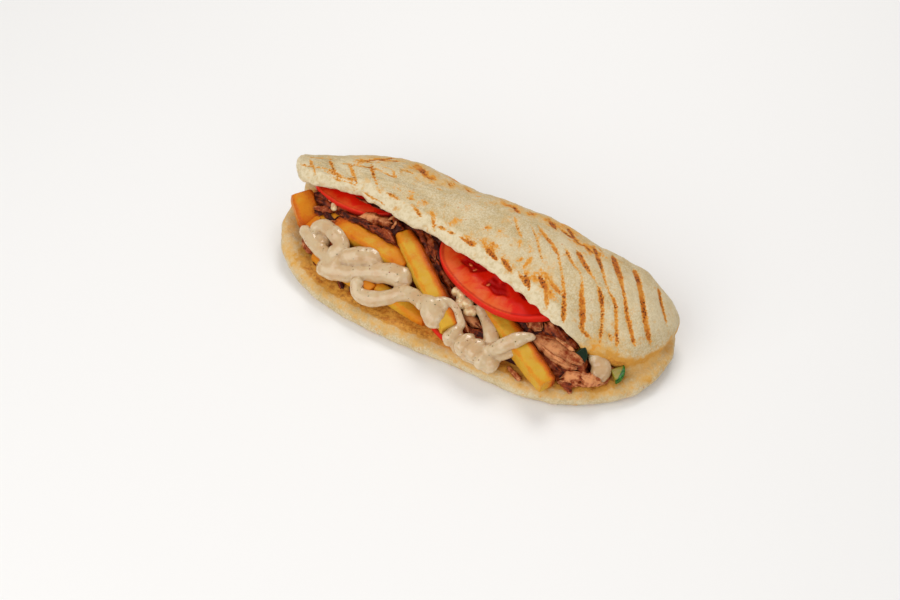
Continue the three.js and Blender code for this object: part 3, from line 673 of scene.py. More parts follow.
def specks_group():
    """Scattered specks of uneven size."""
    def build(graph, inputs):
        reach = graph.times(graph.ramp(graph.noise(300, 2, 0.6), 0.45, 0.75), inputs["Reach"])
        return {"Mask": graph.math("LESS_THAN", graph.cells(inputs["Scale"]), reach)}

    return new_group("Specks", {"Scale": 500.0, "Reach": 0.2}, {"Mask": FLOAT}, build)


def grain_group():
    """A fine and a coarse grain, as heights around a half."""
    def build(graph, inputs):
        fine = graph.noise(inputs["Fine"], 3, 0.6)
        coarse = graph.noise(inputs["Coarse"], 2, 0.5)
        return {"Fine": fine, "Coarse": coarse, "Height": graph.math("MULTIPLY_ADD", fine, 0.5, coarse)}

    return new_group("Grain", {"Fine": 1500.0, "Coarse": 300.0},
                     {"Fine": FLOAT, "Coarse": FLOAT, "Height": FLOAT}, build)


# ------------------------------------------------------------------ bread

class BreadSettings(bpy.types.PropertyGroup):
    first_face: length("First face size", "Size of the faces that close the solid's gaps", 1.5, min=MM)
    face: length("Face size", "Size of the faces of the bread's skin", 1.06, min=0.5 * MM)
    swell: length("Swell", "Height of the bread's broad humps", 2.6)
    blister: length("Blister", "Height of the small blisters", 0.7)
    press: length("Mark depth", "How deep the grill pressed its marks", 0.7)
    tear: length("Tear", "Roughness of the torn crumb at the edge", 1.6)
    skin: length("Skin", "How far the torn crumb lies under the skin beside it", 0.6)
    crust: colour("Crust", "Colour of the untoasted top", 211, 194, 158)
    shade: colour("Shade", "Colour of the top's duller patches", 198, 176, 130)
    crumb: colour("Crumb", "Colour of the torn inside", 226, 210, 176)
    # Side is also the colour of the painted shade in the bread's creases and, in part, on the puffed side.
    side: colour("Side", "Colour of the puffed side at the closed end", 214, 164, 86)
    soaked: colour("Soaked", "Colour of the inner face beside the filling", 222, 160, 64)
    oil: colour("Oil", "Colour of the oily streaks in the soaked face", 174, 94, 14)
    stain: colour("Stain", "Colour of the stains in the soaked face", 140, 76, 24)
    tide: colour("Tide", "Colour of the soaked face's edge", 200, 138, 44)
    gold: colour("Gold", "Colour of lightly toasted bread", 216, 148, 54)
    brown: colour("Brown", "Colour of well toasted bread", 186, 98, 16)
    char: colour("Char", "Colour of burnt specks", 62, 30, 12)


def bread_material(settings):
    """Pale baked dough with toasted patches, grill marks, torn crumb and a soaked inner face, with painted
    shade in its creases and partly on the puffed side at the closed end.
    """
    def build(graph):
        grain = graph.group(grain_group(), fine=1050, coarse=150)
        crumb, soaked = graph.field("crumb"), graph.field("soaked")
        top = graph.fade(settings.shade, settings.crust, grain["Coarse"], 0.36, 0.6, 0.35, 1)
        top = graph.fade(top, settings.shade, grain["Fine"], 0.4, 0.6, 0.42, 0, blend="MULTIPLY")
        top = graph.fade(top, settings.crumb, graph.noise(45), 0.42, 0.64, 0, 0.35)
        top = graph.fade(top, settings.side, graph.noise(560, 3, 0.65), 0.56, 0.74, 0, 0.5)
        flecks = graph.group(specks_group(), scale=300, reach=0.24)
        top = graph.mix(graph.times(flecks["Mask"], 0.5), top, settings.brown)
        torn = graph.fade(settings.shade, settings.crumb, graph.noise(420, 3, 0.6), 0.3, 0.6, 0.3, 1)
        dough = graph.mix(graph.times(crumb, 0.9), top, torn)
        # Painted shade: creases are darkened towards the side colour.
        dough = graph.fade(dough, settings.side, graph.field("hollow"), 0, 0.25, 0, 0.55)
        wander, mottle = graph.noise(110, 3, 0.6), graph.noise(340, 3, 0.6)
        # Golden, partly painted shade on the puffed side, mixes in the side colour.
        warm = graph.swayed(graph.swayed(graph.field("golden"), 1.3, mottle), 0.9, wander)
        dough = graph.fade(dough, settings.side, warm, 0.1, 1.1)
        damp = graph.swayed(graph.swayed(soaked, 0.7, mottle), 0.8, wander)
        oily = graph.noise(1, 4, 0.7, vector=graph.stretched(190, 260, 260))
        wet = graph.fade(settings.soaked, settings.oil, oily, 0.42, 0.64, 0, 0.8)
        stains = graph.noise(420, 5, 0.7)
        wet = graph.fade(wet, settings.stain, stains, 0.5, 0.66, 0, 0.6)
        dough = graph.fade(dough, wet, damp, 0.1, 0.7, 0, 0.95)
        tide = graph.times(graph.ramp(damp, 0.1, 0.3, 0, 0.6), graph.ramp(damp, 0.7, 0.4))
        dough = graph.mix(tide, dough, settings.tide)
        toast = graph.times(graph.field("toast"), graph.ramp(graph.noise(230, 4, 0.6, 0.4), 0.4, 0.66))
        baked = toasted(graph, settings, dough, toast, 0.7)
        inside = graph.math("SUBTRACT", graph.field("mark_width"), graph.field("mark_gap"))
        edge = graph.swayed(inside, 3.2, graph.noise(700, 4, 0.65))
        heat = graph.noise(120)
        strength = graph.times(graph.ramp(edge, -0.5, 1.1), graph.ramp(heat, 0.3, 0.62, 0.65, 1.0))
        marked = toasted(graph, settings, baked, strength, 0.6)
        core = graph.times(graph.ramp(edge, 0.1, 0.9), graph.ramp(heat, 0.36, 0.56))
        dots = graph.times(graph.ramp(graph.cells(720), 0.48, 0.3), core)
        pits = graph.ramp(graph.cells(620), 0.05, 0.42)
        height = graph.math("MULTIPLY_ADD", pits, 0.28, grain["Height"])
        height = graph.math("MULTIPLY_ADD", graph.noise(900, 3, 0.6), graph.times(crumb, 1.2), height)
        folds = graph.noise(1, 3, 0.5, 0.3, vector=graph.stretched(28, 210, 160))
        groove = graph.ramp(graph.math("ABSOLUTE", graph.math("SUBTRACT", folds, 0.5)), 0, 0.045)
        height = graph.math("MULTIPLY_ADD", groove, graph.field("creased"), height)
        height = graph.math("MULTIPLY_ADD", stains, graph.times(soaked, -1), height)
        return {
            "Base Color": graph.mix(graph.times(dots, 0.85), marked, settings.char),
            "Roughness": graph.ramp(damp, 0.2, 1.0, 0.56, 0.4),
            "Normal": graph.bump(height, 0.7, 0.5),
        }

    return new_material("Grilled flatbread", build, specular=0.22)


def underside_marks():
    """Grill marks on the bottom, evenly spaced and slanted, as a grill leaves them."""
    marks = []
    for x in range(-102, 116, 15):
        half = 30 * max(0, 1 - abs(x / 122) ** 2.5) ** 0.5
        marks.append([(x - 6, 3 - half, 1.3), (x, 3, 1.7), (x + 6, 3 + half, 1.2)])
    return marks


def marks_on(surface, points):
    """For each point, the distance to the nearest grill mark and that mark's half width."""
    above, below, reach = 90, -20, 5
    marks = [(np.reshape(mark, (-1, 3)), above) for mark in GRILL_MARKS]
    marks += [(mark, below) for mark in underside_marks()]
    samples, widths = [], []
    for mark, from_z in marks:
        line = smooth_line(mark, 1)
        for index, (x, y, half) in enumerate(line):
            start = Vector((x * MM, y * MM, from_z * MM))
            place = surface.ray_cast(start, Vector((0, 0, -math.copysign(1, from_z))))[0]
            if place is not None:
                from_end = min(index, len(line) - 1 - index)
                samples.append(place)
                widths.append((0.25 + half) * min(1, 0.35 + 0.25 * from_end))
    tree = KDTree(len(samples))
    for index, place in enumerate(samples):
        tree.insert(place, index)
    tree.balance()
    gap = np.full(len(points), float(reach))
    width = np.zeros(len(points))
    for index, point in enumerate(points * MM):
        _, nearest, distance = tree.find(point)
        if distance < reach * MM:
            gap[index] = distance / MM
            width[index] = widths[nearest]
    return gap, width


def draw_back_edge(piece):
    """Draws the top flap's front edge back a little at the open end and beside the closed end."""
    points = places(piece)
    x, y, z = points.T
    behind = y - along(EDGE_Y, x)
    near = smoothstep(26, 4, behind) * smoothstep(-16, -6, behind)
    upper = smoothstep(-13, -9, z - along(EDGE_HEIGHT, x))
    points[:, 1] += (along(EDGE_SHIFT, x) + 0.7 * ripple(points, 10, SEED + 3)) * near * upper
    move_to(piece, points)


def shape_back(piece):
    """Gives the bread's upper back its uneven outline."""
    points = places(piece)
    x, y, z = points.T
    points[:, 1] += along(BACK_BULGE, x) * smoothstep(14, 36, y) * smoothstep(14, 36, z)
    move_to(piece, points)


def lay_flat(piece):
    """Keeps a piece from reaching under the table."""
    points = places(piece)
    points[:, 2] = np.maximum(points[:, 2], 0)
    move_to(piece, points)


def covered(surface, points, facing):
    """1 where another part of the surface lies close in front of a point, 0 where it is open."""
    rays = zip(points * MM, facing)
    hits = [surface.ray_cast(Vector(point) + Vector(normal) * MM, Vector(normal), 60 * MM)[0]
            for point, normal in rays]
    return np.array([hit is not None for hit in hits], float)


def bread_fields(piece, surface):
    """Works out where the bread is torn, golden, creased, soaked, toasted and marked; golden, soaked and
    toast take in painted shade on the puffed side and at its foot.
    """
    points, facing = places(piece), facings(piece)
    x, y, z = points.T
    up = facing[:, 2]
    from_edge = np.hypot(y - along(EDGE_Y, x) - along(EDGE_SHIFT, x) - 1, z - along(EDGE_HEIGHT, x))
    from_edge += 0.8 * ripple(points, 8, SEED + 5)
    crumb = smoothstep(84, 60, x) * smoothstep(11.5, 9.8, from_edge) * smoothstep(0.995, 0.95, up)
    hidden = covered(surface, points, facing)
    low = smoothstep(24, 17, z)
    apron = low * smoothstep(0.1, 0.6, up) * smoothstep(4.5, 9, y - lip(x))
    apron *= smoothstep(-112, -80, x) * smoothstep(112, 92, x)
    dome = smoothstep(48, 80, x) * (1 - hidden) * smoothstep(12, 20, z)
    # The puffed side's faces that turn from the top are made golden: partly baked colour, partly painted
    # shade.
    puffed = dome * smoothstep(0, -18, z - along(PUFFED_TOP, x)) * smoothstep(0.97, 0.4, up)
    # At the foot of the puffed side, by the fold under the dome, the bread is made darker: partly soaked,
    # partly painted shade.
    seam_soak_and_shade = puffed * smoothstep(33, 22, z)
    rim = low * (1 - 0.5 * smoothstep(0.2, 0.8, up)) * smoothstep(4, 9, z)
    flat = low * smoothstep(0.3, 0.8, up)
    back = smoothstep(25, 38, y) * smoothstep(16, 34, z) * (1 - 0.7 * smoothstep(45, 65, x))
    patch, halo = np.zeros(len(points)), np.zeros(len(points))
    for *place, reach, strength in TOASTED:
        gap = np.linalg.norm(points - place, axis=1)
        patch = np.maximum(patch, 0.85 * strength * smoothstep(1.45 * reach, 0.4 * reach, gap))
        halo = np.maximum(halo, strength * smoothstep(2.4 * reach, 0.6 * reach, gap))
    plain = 1 - 0.75 * crumb
    scattered = smoothstep(0.45, 1.1, ripple(points, 22, SEED))
    under = smoothstep(3, 1, z) * smoothstep(-0.5, -0.9, up)
    mark_gap, mark_width = marks_on(surface, points)
    return {
        "crumb": crumb,
        # Soaked and toast take in the seam: partly soaked, partly painted shade.
        "soaked": np.clip(0.6 * hidden * (1 - crumb) + 0.95 * apron + 0.65 * seam_soak_and_shade, 0, 1),
        "golden": plain * np.clip(1.4 * puffed + 0.12 * dome + 0.28 * back + 0.42 * rim + 0.5 * flat
                                  + 0.4 * halo, 0, 1),
        "creased": (1.6 * smoothstep(-10, -50, x) * smoothstep(0.3, 0.7, up) * (1 - crumb)
                    * smoothstep(28, 36, z)),
        "toast": np.maximum.reduce([plain * patch, 0.7 * back * scattered + 0.15 * back, 0.6 * under,
                                    0.3 * plain * scattered, 0.35 * seam_soak_and_shade]),
        "mark_gap": mark_gap,
        "mark_width": mark_width,
    }


class SANDWICH_OT_bread(bpy.types.Operator):
    """Models the grilled flatbread"""

    bl_idname = "sandwich.bread"
    bl_label = "Bread"

    def execute(self, context):
        settings = context.scene.sandwich_bread
        piece = copy_of("bread", "flatbread")
        remesh(piece, settings.first_face)
        relax(piece, 5)
        remesh(piece, settings.face)
        relax(piece, 2)
        draw_back_edge(piece)
        shape_back(piece)
        roughen(piece, "Humps", 16 * MM, settings.swell, depth=1)
        fields = bread_fields(piece, BVHTree.FromObject(piece, context.evaluated_depsgraph_get()))
        inside = fields["mark_width"] - fields["mark_gap"]
        write_group(piece, "marked", smoothstep(-0.8, 0.8, inside) * (fields["mark_width"] > 0))
        write_group(piece, "torn", fields["crumb"])
        write_group(piece, "skin", 1 - 0.8 * fields["crumb"])
        roughen(piece, "Blisters", 3.6 * MM, settings.blister, group="skin")
        roughen(piece, "Tears", 4 * MM, settings.tear, group="torn", depth=3)
        sink(piece, settings.skin, "torn")
        sink(piece, settings.press, "marked")
        lay_flat(piece)
        fields["hollow"] = hollows(piece, 4)
        for name, values in fields.items():
            write_field(piece, name, values)
        finish_piece(piece, bread_material(settings), "bread", "bread")
        return {"FINISHED"}


# ------------------------------------------------------------------ chips

class ChipSettings(bpy.types.PropertyGroup):
    face: length("Face size", "Size of the faces of a chip's skin", 0.6, min=0.3 * MM)
    blister: length("Blister", "Height of the small blisters of the fried skin", 0.5)
    pale: colour("Pale", "Colour of lightly fried potato", 208, 160, 48)
    gold: colour("Gold", "Colour of well fried potato", 210, 128, 24)
    brown: colour("Brown", "Colour of browned corners", 196, 92, 12)
    char: colour("Char", "Colour of the darkest spots", 146, 60, 8)


def chip_material(settings):
    """Fried potato, brown along its corners and at its ends, with painted shade on the right side of some
    chips.
    """
    def build(graph):
        grain = graph.group(grain_group(), fine=1300, coarse=260)
        amount = graph.swayed(graph.field("browned_and_shaded"), 0.7, graph.noise(180, 3, 0.6))
        return {
            "Base Color": toasted(graph, settings, settings.pale, amount, 0.35),
            "Roughness": graph.ramp(grain["Coarse"], 0.3, 0.7, 0.34, 0.52),
            "Normal": graph.bump(grain["Height"], 0.35, 0.5),
        }

    return new_material("Fried potato", build, specular=0.12, glow=(0.12, (1.0, 0.5, 0.15), 2))


def chip_browning(points, start, end, width, height, bend, tone, ends, side):
    """How dark each point of a chip is: brown most at its corners and ends, with painted shade on its right
    side as strong as side.
    """
    start, end = np.array(start, float), np.array(end, float)
    span = np.linalg.norm(end - start)
    forward = (end - start) / span
    across = np.cross(forward, (0, 0, 1))
    across /= np.linalg.norm(across)
    over = np.cross(across, forward)
    offset = points - start
    t = np.clip(offset @ forward / span, 0, 1)
    u = offset @ across / (width / 2)
    v = (offset @ over - 2 * bend * t * (1 - t)) / (height / 2)
    corner = smoothstep(0.55, 1.0, np.abs(u)) * smoothstep(0.55, 1.0, np.abs(v))
    near_start, near_end = np.exp(-t * span / 6), np.exp(-(1 - t) * span / 6)
    # Painted shade: the chip's right side is darkened as if it lay in shade.
    painted_side_shade = 1.1 * side * smoothstep(0.02, 0.72, -u)
    uneven = 0.14 * ripple(points, 11, SEED + int(10 * span))
    return tone + ends[0] * near_start + ends[1] * near_end + 0.45 * corner + painted_side_shade + uneven


class SANDWICH_OT_chips(bpy.types.Operator):
    """Models the fried chips"""

    bl_idname = "sandwich.chips"
    bl_label = "Chips"

    def execute(self, context):
        settings = context.scene.sandwich_chips
        material = chip_material(settings)
        for node, chip in CHIPS.items():
            piece = copy_of(node, node.replace("fry", "chip"))
            remesh(piece, settings.face)
            relax(piece, 3)
            roughen(piece, "Fried skin", 5 * MM, 1.6 * settings.blister, depth=1)
            roughen(piece, "Fried blisters", 1.8 * MM, 0.6 * settings.blister)
            write_field(piece, "browned_and_shaded", chip_browning(places(piece), *chip))
            settle(piece, node)
            finish_piece(piece, material, "fry", node)
        return {"FINISHED"}


# ------------------------------------------------------------------ tomatoes

class TomatoSettings(bpy.types.PropertyGroup):
    face: length("Face size", "Size of the faces of a slice", 0.6, min=0.3 * MM)
    pocket: length("Pocket depth", "How far the seed pockets sink into a slice", 1.3)
    flesh: colour("Flesh", "Colour of the cut flesh", 214, 26, 5)
    streak: colour("Streak", "Colour of the paler streaks", 220, 98, 40)
    skin: colour("Skin", "Colour of the skin", 220, 44, 28)
    gel: colour("Gel", "Colour of the seed pockets", 172, 12, 10)
    seed: colour("Seed", "Colour of the seeds", 190, 58, 20)
    pale_seed: colour("Pale seed", "Colour of the seeds' paler patches", 212, 104, 48)


def tomato_material(settings):
    """Wet cut tomato with radial streaks, a skin at its rim and glossy dark pockets."""
    def build(graph):
        outer = graph.swayed(graph.field("outward"), 0.7, graph.noise(130, 4, 0.6, 0.8))
        flesh = graph.fade(settings.flesh, settings.streak, outer, 0.56, 0.9, 0, 0.9)
        mottled = graph.noise(260, 3, 0.6)
        flesh = graph.fade(flesh, settings.flesh, mottled, 0.5, 0.8, 0, 0.4)
        rimmed = graph.mix(graph.field("skin"), flesh, settings.skin)
        under_skin = graph.mix(graph.times(graph.field("under_skin"), 0.7), rimmed, settings.gel)
        return {
            "Base Color": graph.mix(graph.times(graph.field("pocket"), 0.95), under_skin, settings.gel),
            "Roughness": graph.ramp(mottled, 0.3, 0.7, 0.28, 0.45),
            "Normal": graph.bump(mottled, 0.4, 0.25),
        }

    return new_material("Cut tomato", build, specular=0.09, glow=(0.2, (1.0, 0.2, 0.1), 3))


def seed_material(settings):
    """Pale wet tomato seeds."""
    def build(graph):
        grain = graph.group(grain_group(), fine=2500, coarse=700)
        return {"Base Color": graph.fade(settings.seed, settings.pale_seed, grain["Coarse"], 0.35, 0.65),
                "Normal": graph.bump(grain["Height"], 0.1, 0.4)}

    return new_material("Tomato seed", build, roughness=0.25)


def slice_placing(centre, heading, dip):
    """The matrix that lays a slice in its place."""
    turn = Matrix.Rotation(heading, 4, "Z") @ Matrix.Rotation(dip, 4, "X")
    return Matrix.Translation(MM * Vector(centre)) @ turn


def pocket_depth(around, outward):
    """How deep a slice sinks at an angle and share of its radius: six pockets round a fleshy core."""
    lobe = np.abs(np.sin(3 * around - 0.8))
    within = smoothstep(0.4, 0.75, lobe + 0.12 * np.sin(7 * around))
    ragged = outward + 0.025 * np.sin(11 * around) + 0.02 * np.sin(17 * around + 2)
    return within * smoothstep(0.27, 0.36, ragged) * smoothstep(0.66, 0.58, ragged)


def tomato_slice(name, settings, centre, radii, heading, dip, thickness, has_pockets):
    """One slice, cut across the fruit, with its seed pockets sunk in."""
    bpy.ops.object.select_all(action="DESELECT")
    bpy.ops.mesh.primitive_cylinder_add(vertices=96, radius=1, depth=thickness * MM)
    piece = bpy.context.object
    piece.name = piece.data.name = name
    piece.scale = (radii[0] * MM, radii[1] * MM, 1)
    apply_place(piece)
    modify(piece, "BEVEL", width=1.1 * MM, segments=4, limit_method="ANGLE")
    remesh(piece, settings.face)
    relax(piece, 2)
    points = places(piece)
    x, y = points[:, 0] / radii[0], points[:, 1] / radii[1]
    around, outward = np.arctan2(y, x), np.hypot(x, y)
    face_on = smoothstep(0.6, 0.95, np.abs(facings(piece)[:, 2]))
    pocket = pocket_depth(around, outward) * face_on * has_pockets
    points[:, 2] -= np.sign(points[:, 2]) * pocket * settings.pocket / MM
    points[:, 2] += 0.3 * ripple(points, 11, SEED) + 0.45 * pocket * ripple(points, 4, SEED + 1)
    points[:, :2] *= 1 + 0.015 * np.sin(5 * around + 1)[:, None]
    move_to(piece, points)
    riper = np.maximum(smoothstep(0.3, 0.75, points[:, 0] / radii[0]), 0 if has_pockets else 0.2)
    skin_reach = 1 - 0.9 / np.mean(radii)
    flesh_reach = skin_reach - 1.1 / np.mean(radii)
    write_field(piece, "pocket", pocket)
    write_field(piece, "outward", outward - 0.5 * riper)
    write_field(piece, "skin", smoothstep(flesh_reach + 0.02, skin_reach, outward))
    write_field(piece, "under_skin", smoothstep(0.030, 0.008, np.abs(outward - flesh_reach)) * face_on)
    piece.matrix_world = slice_placing(centre, heading, dip)
    apply_place(piece)
    return piece


def tomato_seeds(name, settings, centre, radii, heading, dip, thickness, count=14):
    """Flat seeds that lie in the upper pockets of a slice."""
    source = random.Random(SEED + len(name))
    bpy.ops.object.select_all(action="DESELECT")
    bpy.ops.mesh.primitive_uv_sphere_add(segments=10, ring_count=6, radius=1)
    master = bpy.context.object
    placing = slice_placing(centre, heading, dip)
    size = Matrix.Diagonal((1.5 * MM, 0.9 * MM, 0.5 * MM, 1))
    seeds = []
    while len(seeds) < count:
        around = source.uniform(-math.pi, math.pi)
        outward = source.uniform(0.34, 0.6)
        if pocket_depth(np.array(around), np.array(outward)) < 0.75:
            continue
        seed = new_object(name, master.data.copy())
        flat = Vector((radii[0] * MM * outward * math.cos(around), radii[1] * MM * outward * math.sin(around),
                       thickness * MM / 2 - settings.pocket + 0.2 * MM))
        spin = Matrix.Rotation(source.uniform(0, math.pi), 4, "Z")
        tilt = Matrix.Rotation(source.uniform(-0.4, 0.4), 4, "X")
        seed.matrix_world = placing @ Matrix.Translation(flat) @ (spin @ tilt) @ size
        seeds.append(seed)
    bpy.data.objects.remove(master)
    piece = join(name, seeds)
    apply_place(piece)
    return piece


class SANDWICH_OT_tomatoes(bpy.types.Operator):
    """Models the tomato slices and their seeds"""

    bl_idname = "sandwich.tomatoes"
    bl_label = "Tomatoes"

    def execute(self, context):
        settings = context.scene.sandwich_tomatoes
        material = tomato_material(settings)
        for node, sizes in TOMATOES.items():
            piece = tomato_slice(f"{node}_slice", settings, *sizes)
            settle(piece, node)
            finish_piece(piece, material, "tomato", node)
        seeds = tomato_seeds("tomato_seeds", settings, *TOMATOES["tomato_right"][:-1])
        finish_piece(seeds, seed_material(settings), "tomato")
        return {"FINISHED"}


# ------------------------------------------------------------------ cucumber and onion

class GarnishSettings(bpy.types.PropertyGroup):
    face: length("Face size", "Size of the faces of the wedges and the onion", 0.35, min=0.2 * MM)
    rough: length("Roughness", "Height of the lumps of a cut face", 0.4)
    flesh: colour("Cucumber flesh", "Colour of cut cucumber", 150, 128, 42)
    green_flesh: colour("Green flesh", "Colour of the greener flesh", 134, 132, 38)
    rind: colour("Cucumber skin", "Colour of cucumber skin", 6, 32, 6)
    fresh_rind: colour("Fresh skin", "Colour of the skin's brighter streaks", 28, 112, 22)
    onion: colour("Onion", "Colour of the chopped onion", 232, 210, 162)
    coated_onion: colour("Coated onion", "Colour of onion under sauce", 212, 168, 118)


def cucumber_material(settings):
    """Wet cucumber: pale flesh, a greener band and a dark skin."""
    def build(graph):
        grain = graph.group(grain_group(), fine=1800, coarse=500)
        flesh = graph.fade(settings.flesh, settings.green_flesh, grain["Coarse"], 0.35, 0.7)
        streaks = graph.times(graph.ramp(graph.noise(500), 0.3, 0.6), graph.field("fresh"))
        rind = graph.mix(streaks, settings.rind, settings.fresh_rind)
        return {"Base Color": graph.mix(graph.field("skin"), flesh, rind),
                "Normal": graph.bump(grain["Height"], 0.2, 0.4)}

    return new_material("Cucumber", build, roughness=0.3, specular=0.25, glow=(0.1, (0.6, 1.0, 0.3), 2))


def onion_material(settings):
    """Half clear wet onion under a thin coat of sauce."""
    def build(graph):
        grain = graph.group(grain_group(), fine=1500, coarse=420)
        return {
            "Base Color": graph.fade(settings.coated_onion, settings.onion, grain["Coarse"], 0.35, 0.65),
            "Roughness": graph.ramp(graph.noise(600), 0.3, 0.7, 0.08, 0.2),
            "Normal": graph.bump(grain["Height"], 0.2, 0.12),
        }

    return new_material("Chopped onion", build, glow=(0.35, (1.0, 0.8, 0.5), 4), coat=(0.5, 0.05))


def wedge_skin(node, piece, centre):
    """1 where a wedge has its skin, 0 in its flesh."""
    if node == "cucumber_1":
        return smoothstep(0.1, 0.3, facings(piece) @ OUTWARD)
    points = places(piece) - centre
    turn = Matrix.Rotation(WEDGE_TURN[0], 3, "X") @ Matrix.Rotation(WEDGE_TURN[1], 3, "Z")
    local = points @ np.array(turn) + 0.45 * ROUND_SIDE
    outward = np.hypot(local[:, 0], local[:, 1])
    round_side = smoothstep(ROUND_SIDE - 1.4, ROUND_SIDE - 0.8, outward)
    return np.maximum(round_side, smoothstep(0.5, 1.2, points[:, 0]))


def chopped_onion(settings):
    """Wet lumps of onion, stuck together where the onion solid is."""
    source = random.Random(SEED)
    lumps = []
    for x, y, z, reach in ONION:
        for size, stray in ((0.92, 0), (0.6, 0.7)):
            bpy.ops.object.select_all(action="DESELECT")
            bpy.ops.mesh.primitive_ico_sphere_add(subdivisions=3, radius=1)
            lump = bpy.context.object
            gap = [source.uniform(-1, 1) * stray * reach for _ in range(3)]
            lump.location = MM * Vector((x + gap[0], y + 0.6 * gap[1], z + 0.6 * gap[2]))
            lump.rotation_euler = [source.uniform(0, math.pi) for _ in range(3)]
            lump.scale = MM * reach * size * Vector((1.15, 0.95, 0.75))
            apply_place(lump)
            lumps.append(lump)
    piece = join("chopped_onion", lumps)
    remesh(piece, settings.face)
    relax(piece, 6)
    roughen(piece, "Onion skin", 3 * MM, settings.rough, depth=0)
    return piece


class SANDWICH_OT_garnish(bpy.types.Operator):
    """Models the cucumber wedges and the chopped onion"""

    bl_idname = "sandwich.garnish"
    bl_label = "Cucumber and onion"

    def execute(self, context):
        settings = context.scene.sandwich_garnish
        material = cucumber_material(settings)
        for node, (centre, fresh) in CUCUMBERS.items():
            piece = copy_of(node, f"{node}_wedge")
            remesh(piece, settings.face)
            relax(piece, 3)
            roughen(piece, "Cut face", 2.5 * MM, settings.rough)
            skin = wedge_skin(node, piece, centre)
            write_field(piece, "skin", skin)
            write_field(piece, "fresh", np.full(len(skin), fresh))
            settle(piece, node, centre)
            finish_piece(piece, material, "cucumber", node)
        finish_piece(chopped_onion(settings), onion_material(settings), "onion", "onion")
        return {"FINISHED"}


# ------------------------------------------------------------------ sauce

class SauceSettings(bpy.types.PropertyGroup):
    face: length("Face size", "Size of the faces of the sauce's skin", 0.55, min=0.4 * MM)
    flow: length("Flow", "Height of the sauce's slow waves", 1.1)
    curd: length("Curd", "Height of its small lumps", 0.4)
    cream: colour("Cream", "Colour of the sauce", 204, 178, 139)
    warm: colour("Warm", "Colour of the oilier sauce", 198, 162, 118)
    # Ridge and crease are painted light: a highlight on the ridges and shade in the creases.
    ridge_highlight: colour("Ridge", "Colour of its ridges", 216, 196, 162)
    crease_shade: colour("Crease", "Colour of its creases", 164, 122, 74)
    thin: colour("Thin", "Colour where it runs thin", 168, 120, 66)
    speck: colour("Speck", "Colour of the fine specks", 120, 88, 36)
    herb: colour("Herb", "Colour of the green flakes", 92, 96, 34)
    dry_herb: colour("Dry herb", "Colour of the brown flakes", 140, 92, 36)
    spice: colour("Spice", "Colour of the red flakes", 138, 32, 14)


def sauce_material(settings):
    """Creamy glossy sauce with fine specks of spice, a painted highlight on its ridges and painted shade in
    its creases.
    """
    def build(graph):
        grain = graph.group(grain_group(), fine=700, coarse=140)
        blend = graph.fade(settings.cream, settings.warm, grain["Coarse"], 0.35, 0.68)
        hollow = graph.field("hollow")
        # Painted highlight on the ridges and painted shade in the creases.
        blend = graph.fade(blend, settings.ridge_highlight, hollow, -0.1, -0.25, 0, 0.5)
        blend = graph.fade(blend, settings.crease_shade, hollow, 0.02, 0.35, 0, 0.6)
        thin = graph.times(graph.field("thin"), graph.ramp(grain["Coarse"], 0.3, 0.6, 0.9, 0.4))
        blend = graph.mix(thin, blend, settings.thin)
        specks = graph.group(specks_group(), scale=620, reach=0.17)
        return {
            "Base Color": graph.mix(graph.times(specks["Mask"], 0.55), blend, settings.speck),
            "Roughness": graph.ramp(grain["Fine"], 0.3, 0.7, 0.12, 0.22),
            "Normal": graph.bump(grain["Height"], 0.5, 0.3),
        }

    return new_material("Creamy sauce", build, glow=(0.3, (1.0, 0.75, 0.45), 2.2), coat=(0.5, 0.06))


def rope_of_sauce(through):
    """One rope of sauce: a round tube that swells and ends round, settled a little flat."""
    line = smooth_line(through, 1.2)
    line, widths = line[:, :3], line[:, 3]
    travelled = distance_along(line)
    curve = bpy.data.curves.new("rope", "CURVE")
    curve.dimensions = "3D"
    curve.bevel_depth = MM
    curve.bevel_resolution = 4
    curve.use_fill_caps = True
    spline = curve.splines.new("POLY")
    spline.points.add(len(line) - 1)
    nearest = KDTree(len(line))
    for index, (point, width, gone) in enumerate(zip(line, widths, travelled)):
        end = min(gone, travelled[-1] - gone)
        swell = 1 + 0.03 * math.sin(gone * 0.7) + 0.05 * math.sin(gone * 0.31 + 2)
        spline.points[index].co = (*(MM * point), 1)
        spline.points[index].radius = width / 2 * swell * math.sqrt(np.clip(end / (0.4 * width), 0.1, 1))
        nearest.insert(MM * point, index)
    nearest.balance()
    piece = new_object("rope", curve)
    select_only(piece)
    bpy.ops.object.convert(target="MESH")
    piece = bpy.context.object
    points = places(piece)
    middles = np.array([nearest.find(point)[0] for point in points * MM]) / MM
    height = (points - middles) @ OUTWARD
    move_to(piece, points - ROPE_FLATNESS * height[:, None] * OUTWARD)
    return piece


def poured_sauce(name, ropes, settings):
    """Ropes of sauce run together into one skin."""
    piece = join(name, [rope_of_sauce(rope) for rope in ropes])
    remesh(piece, settings.face)
    relax(piece, 8)
    roughen(piece, "Flow", 9 * MM, settings.flow, depth=0)
    roughen(piece, "Curds", 2.6 * MM, settings.curd, depth=1)
    write_field(piece, "hollow", hollows(piece, 10))
    return piece


def flake_material(settings):
    """Dried herb and red spice flakes."""
    def build(graph):
        kind = graph.field("kind")
        herb = graph.fade(settings.herb, settings.dry_herb, kind, 0.5, 0.6)
        grain = graph.group(grain_group(), fine=4000, coarse=1500)
        return {"Base Color": graph.fade(herb, settings.spice, kind, 0.82, 0.86),
                "Normal": graph.bump(grain["Height"], 0.05, 0.5)}

    return new_material("Dried herbs", build, roughness=0.5)


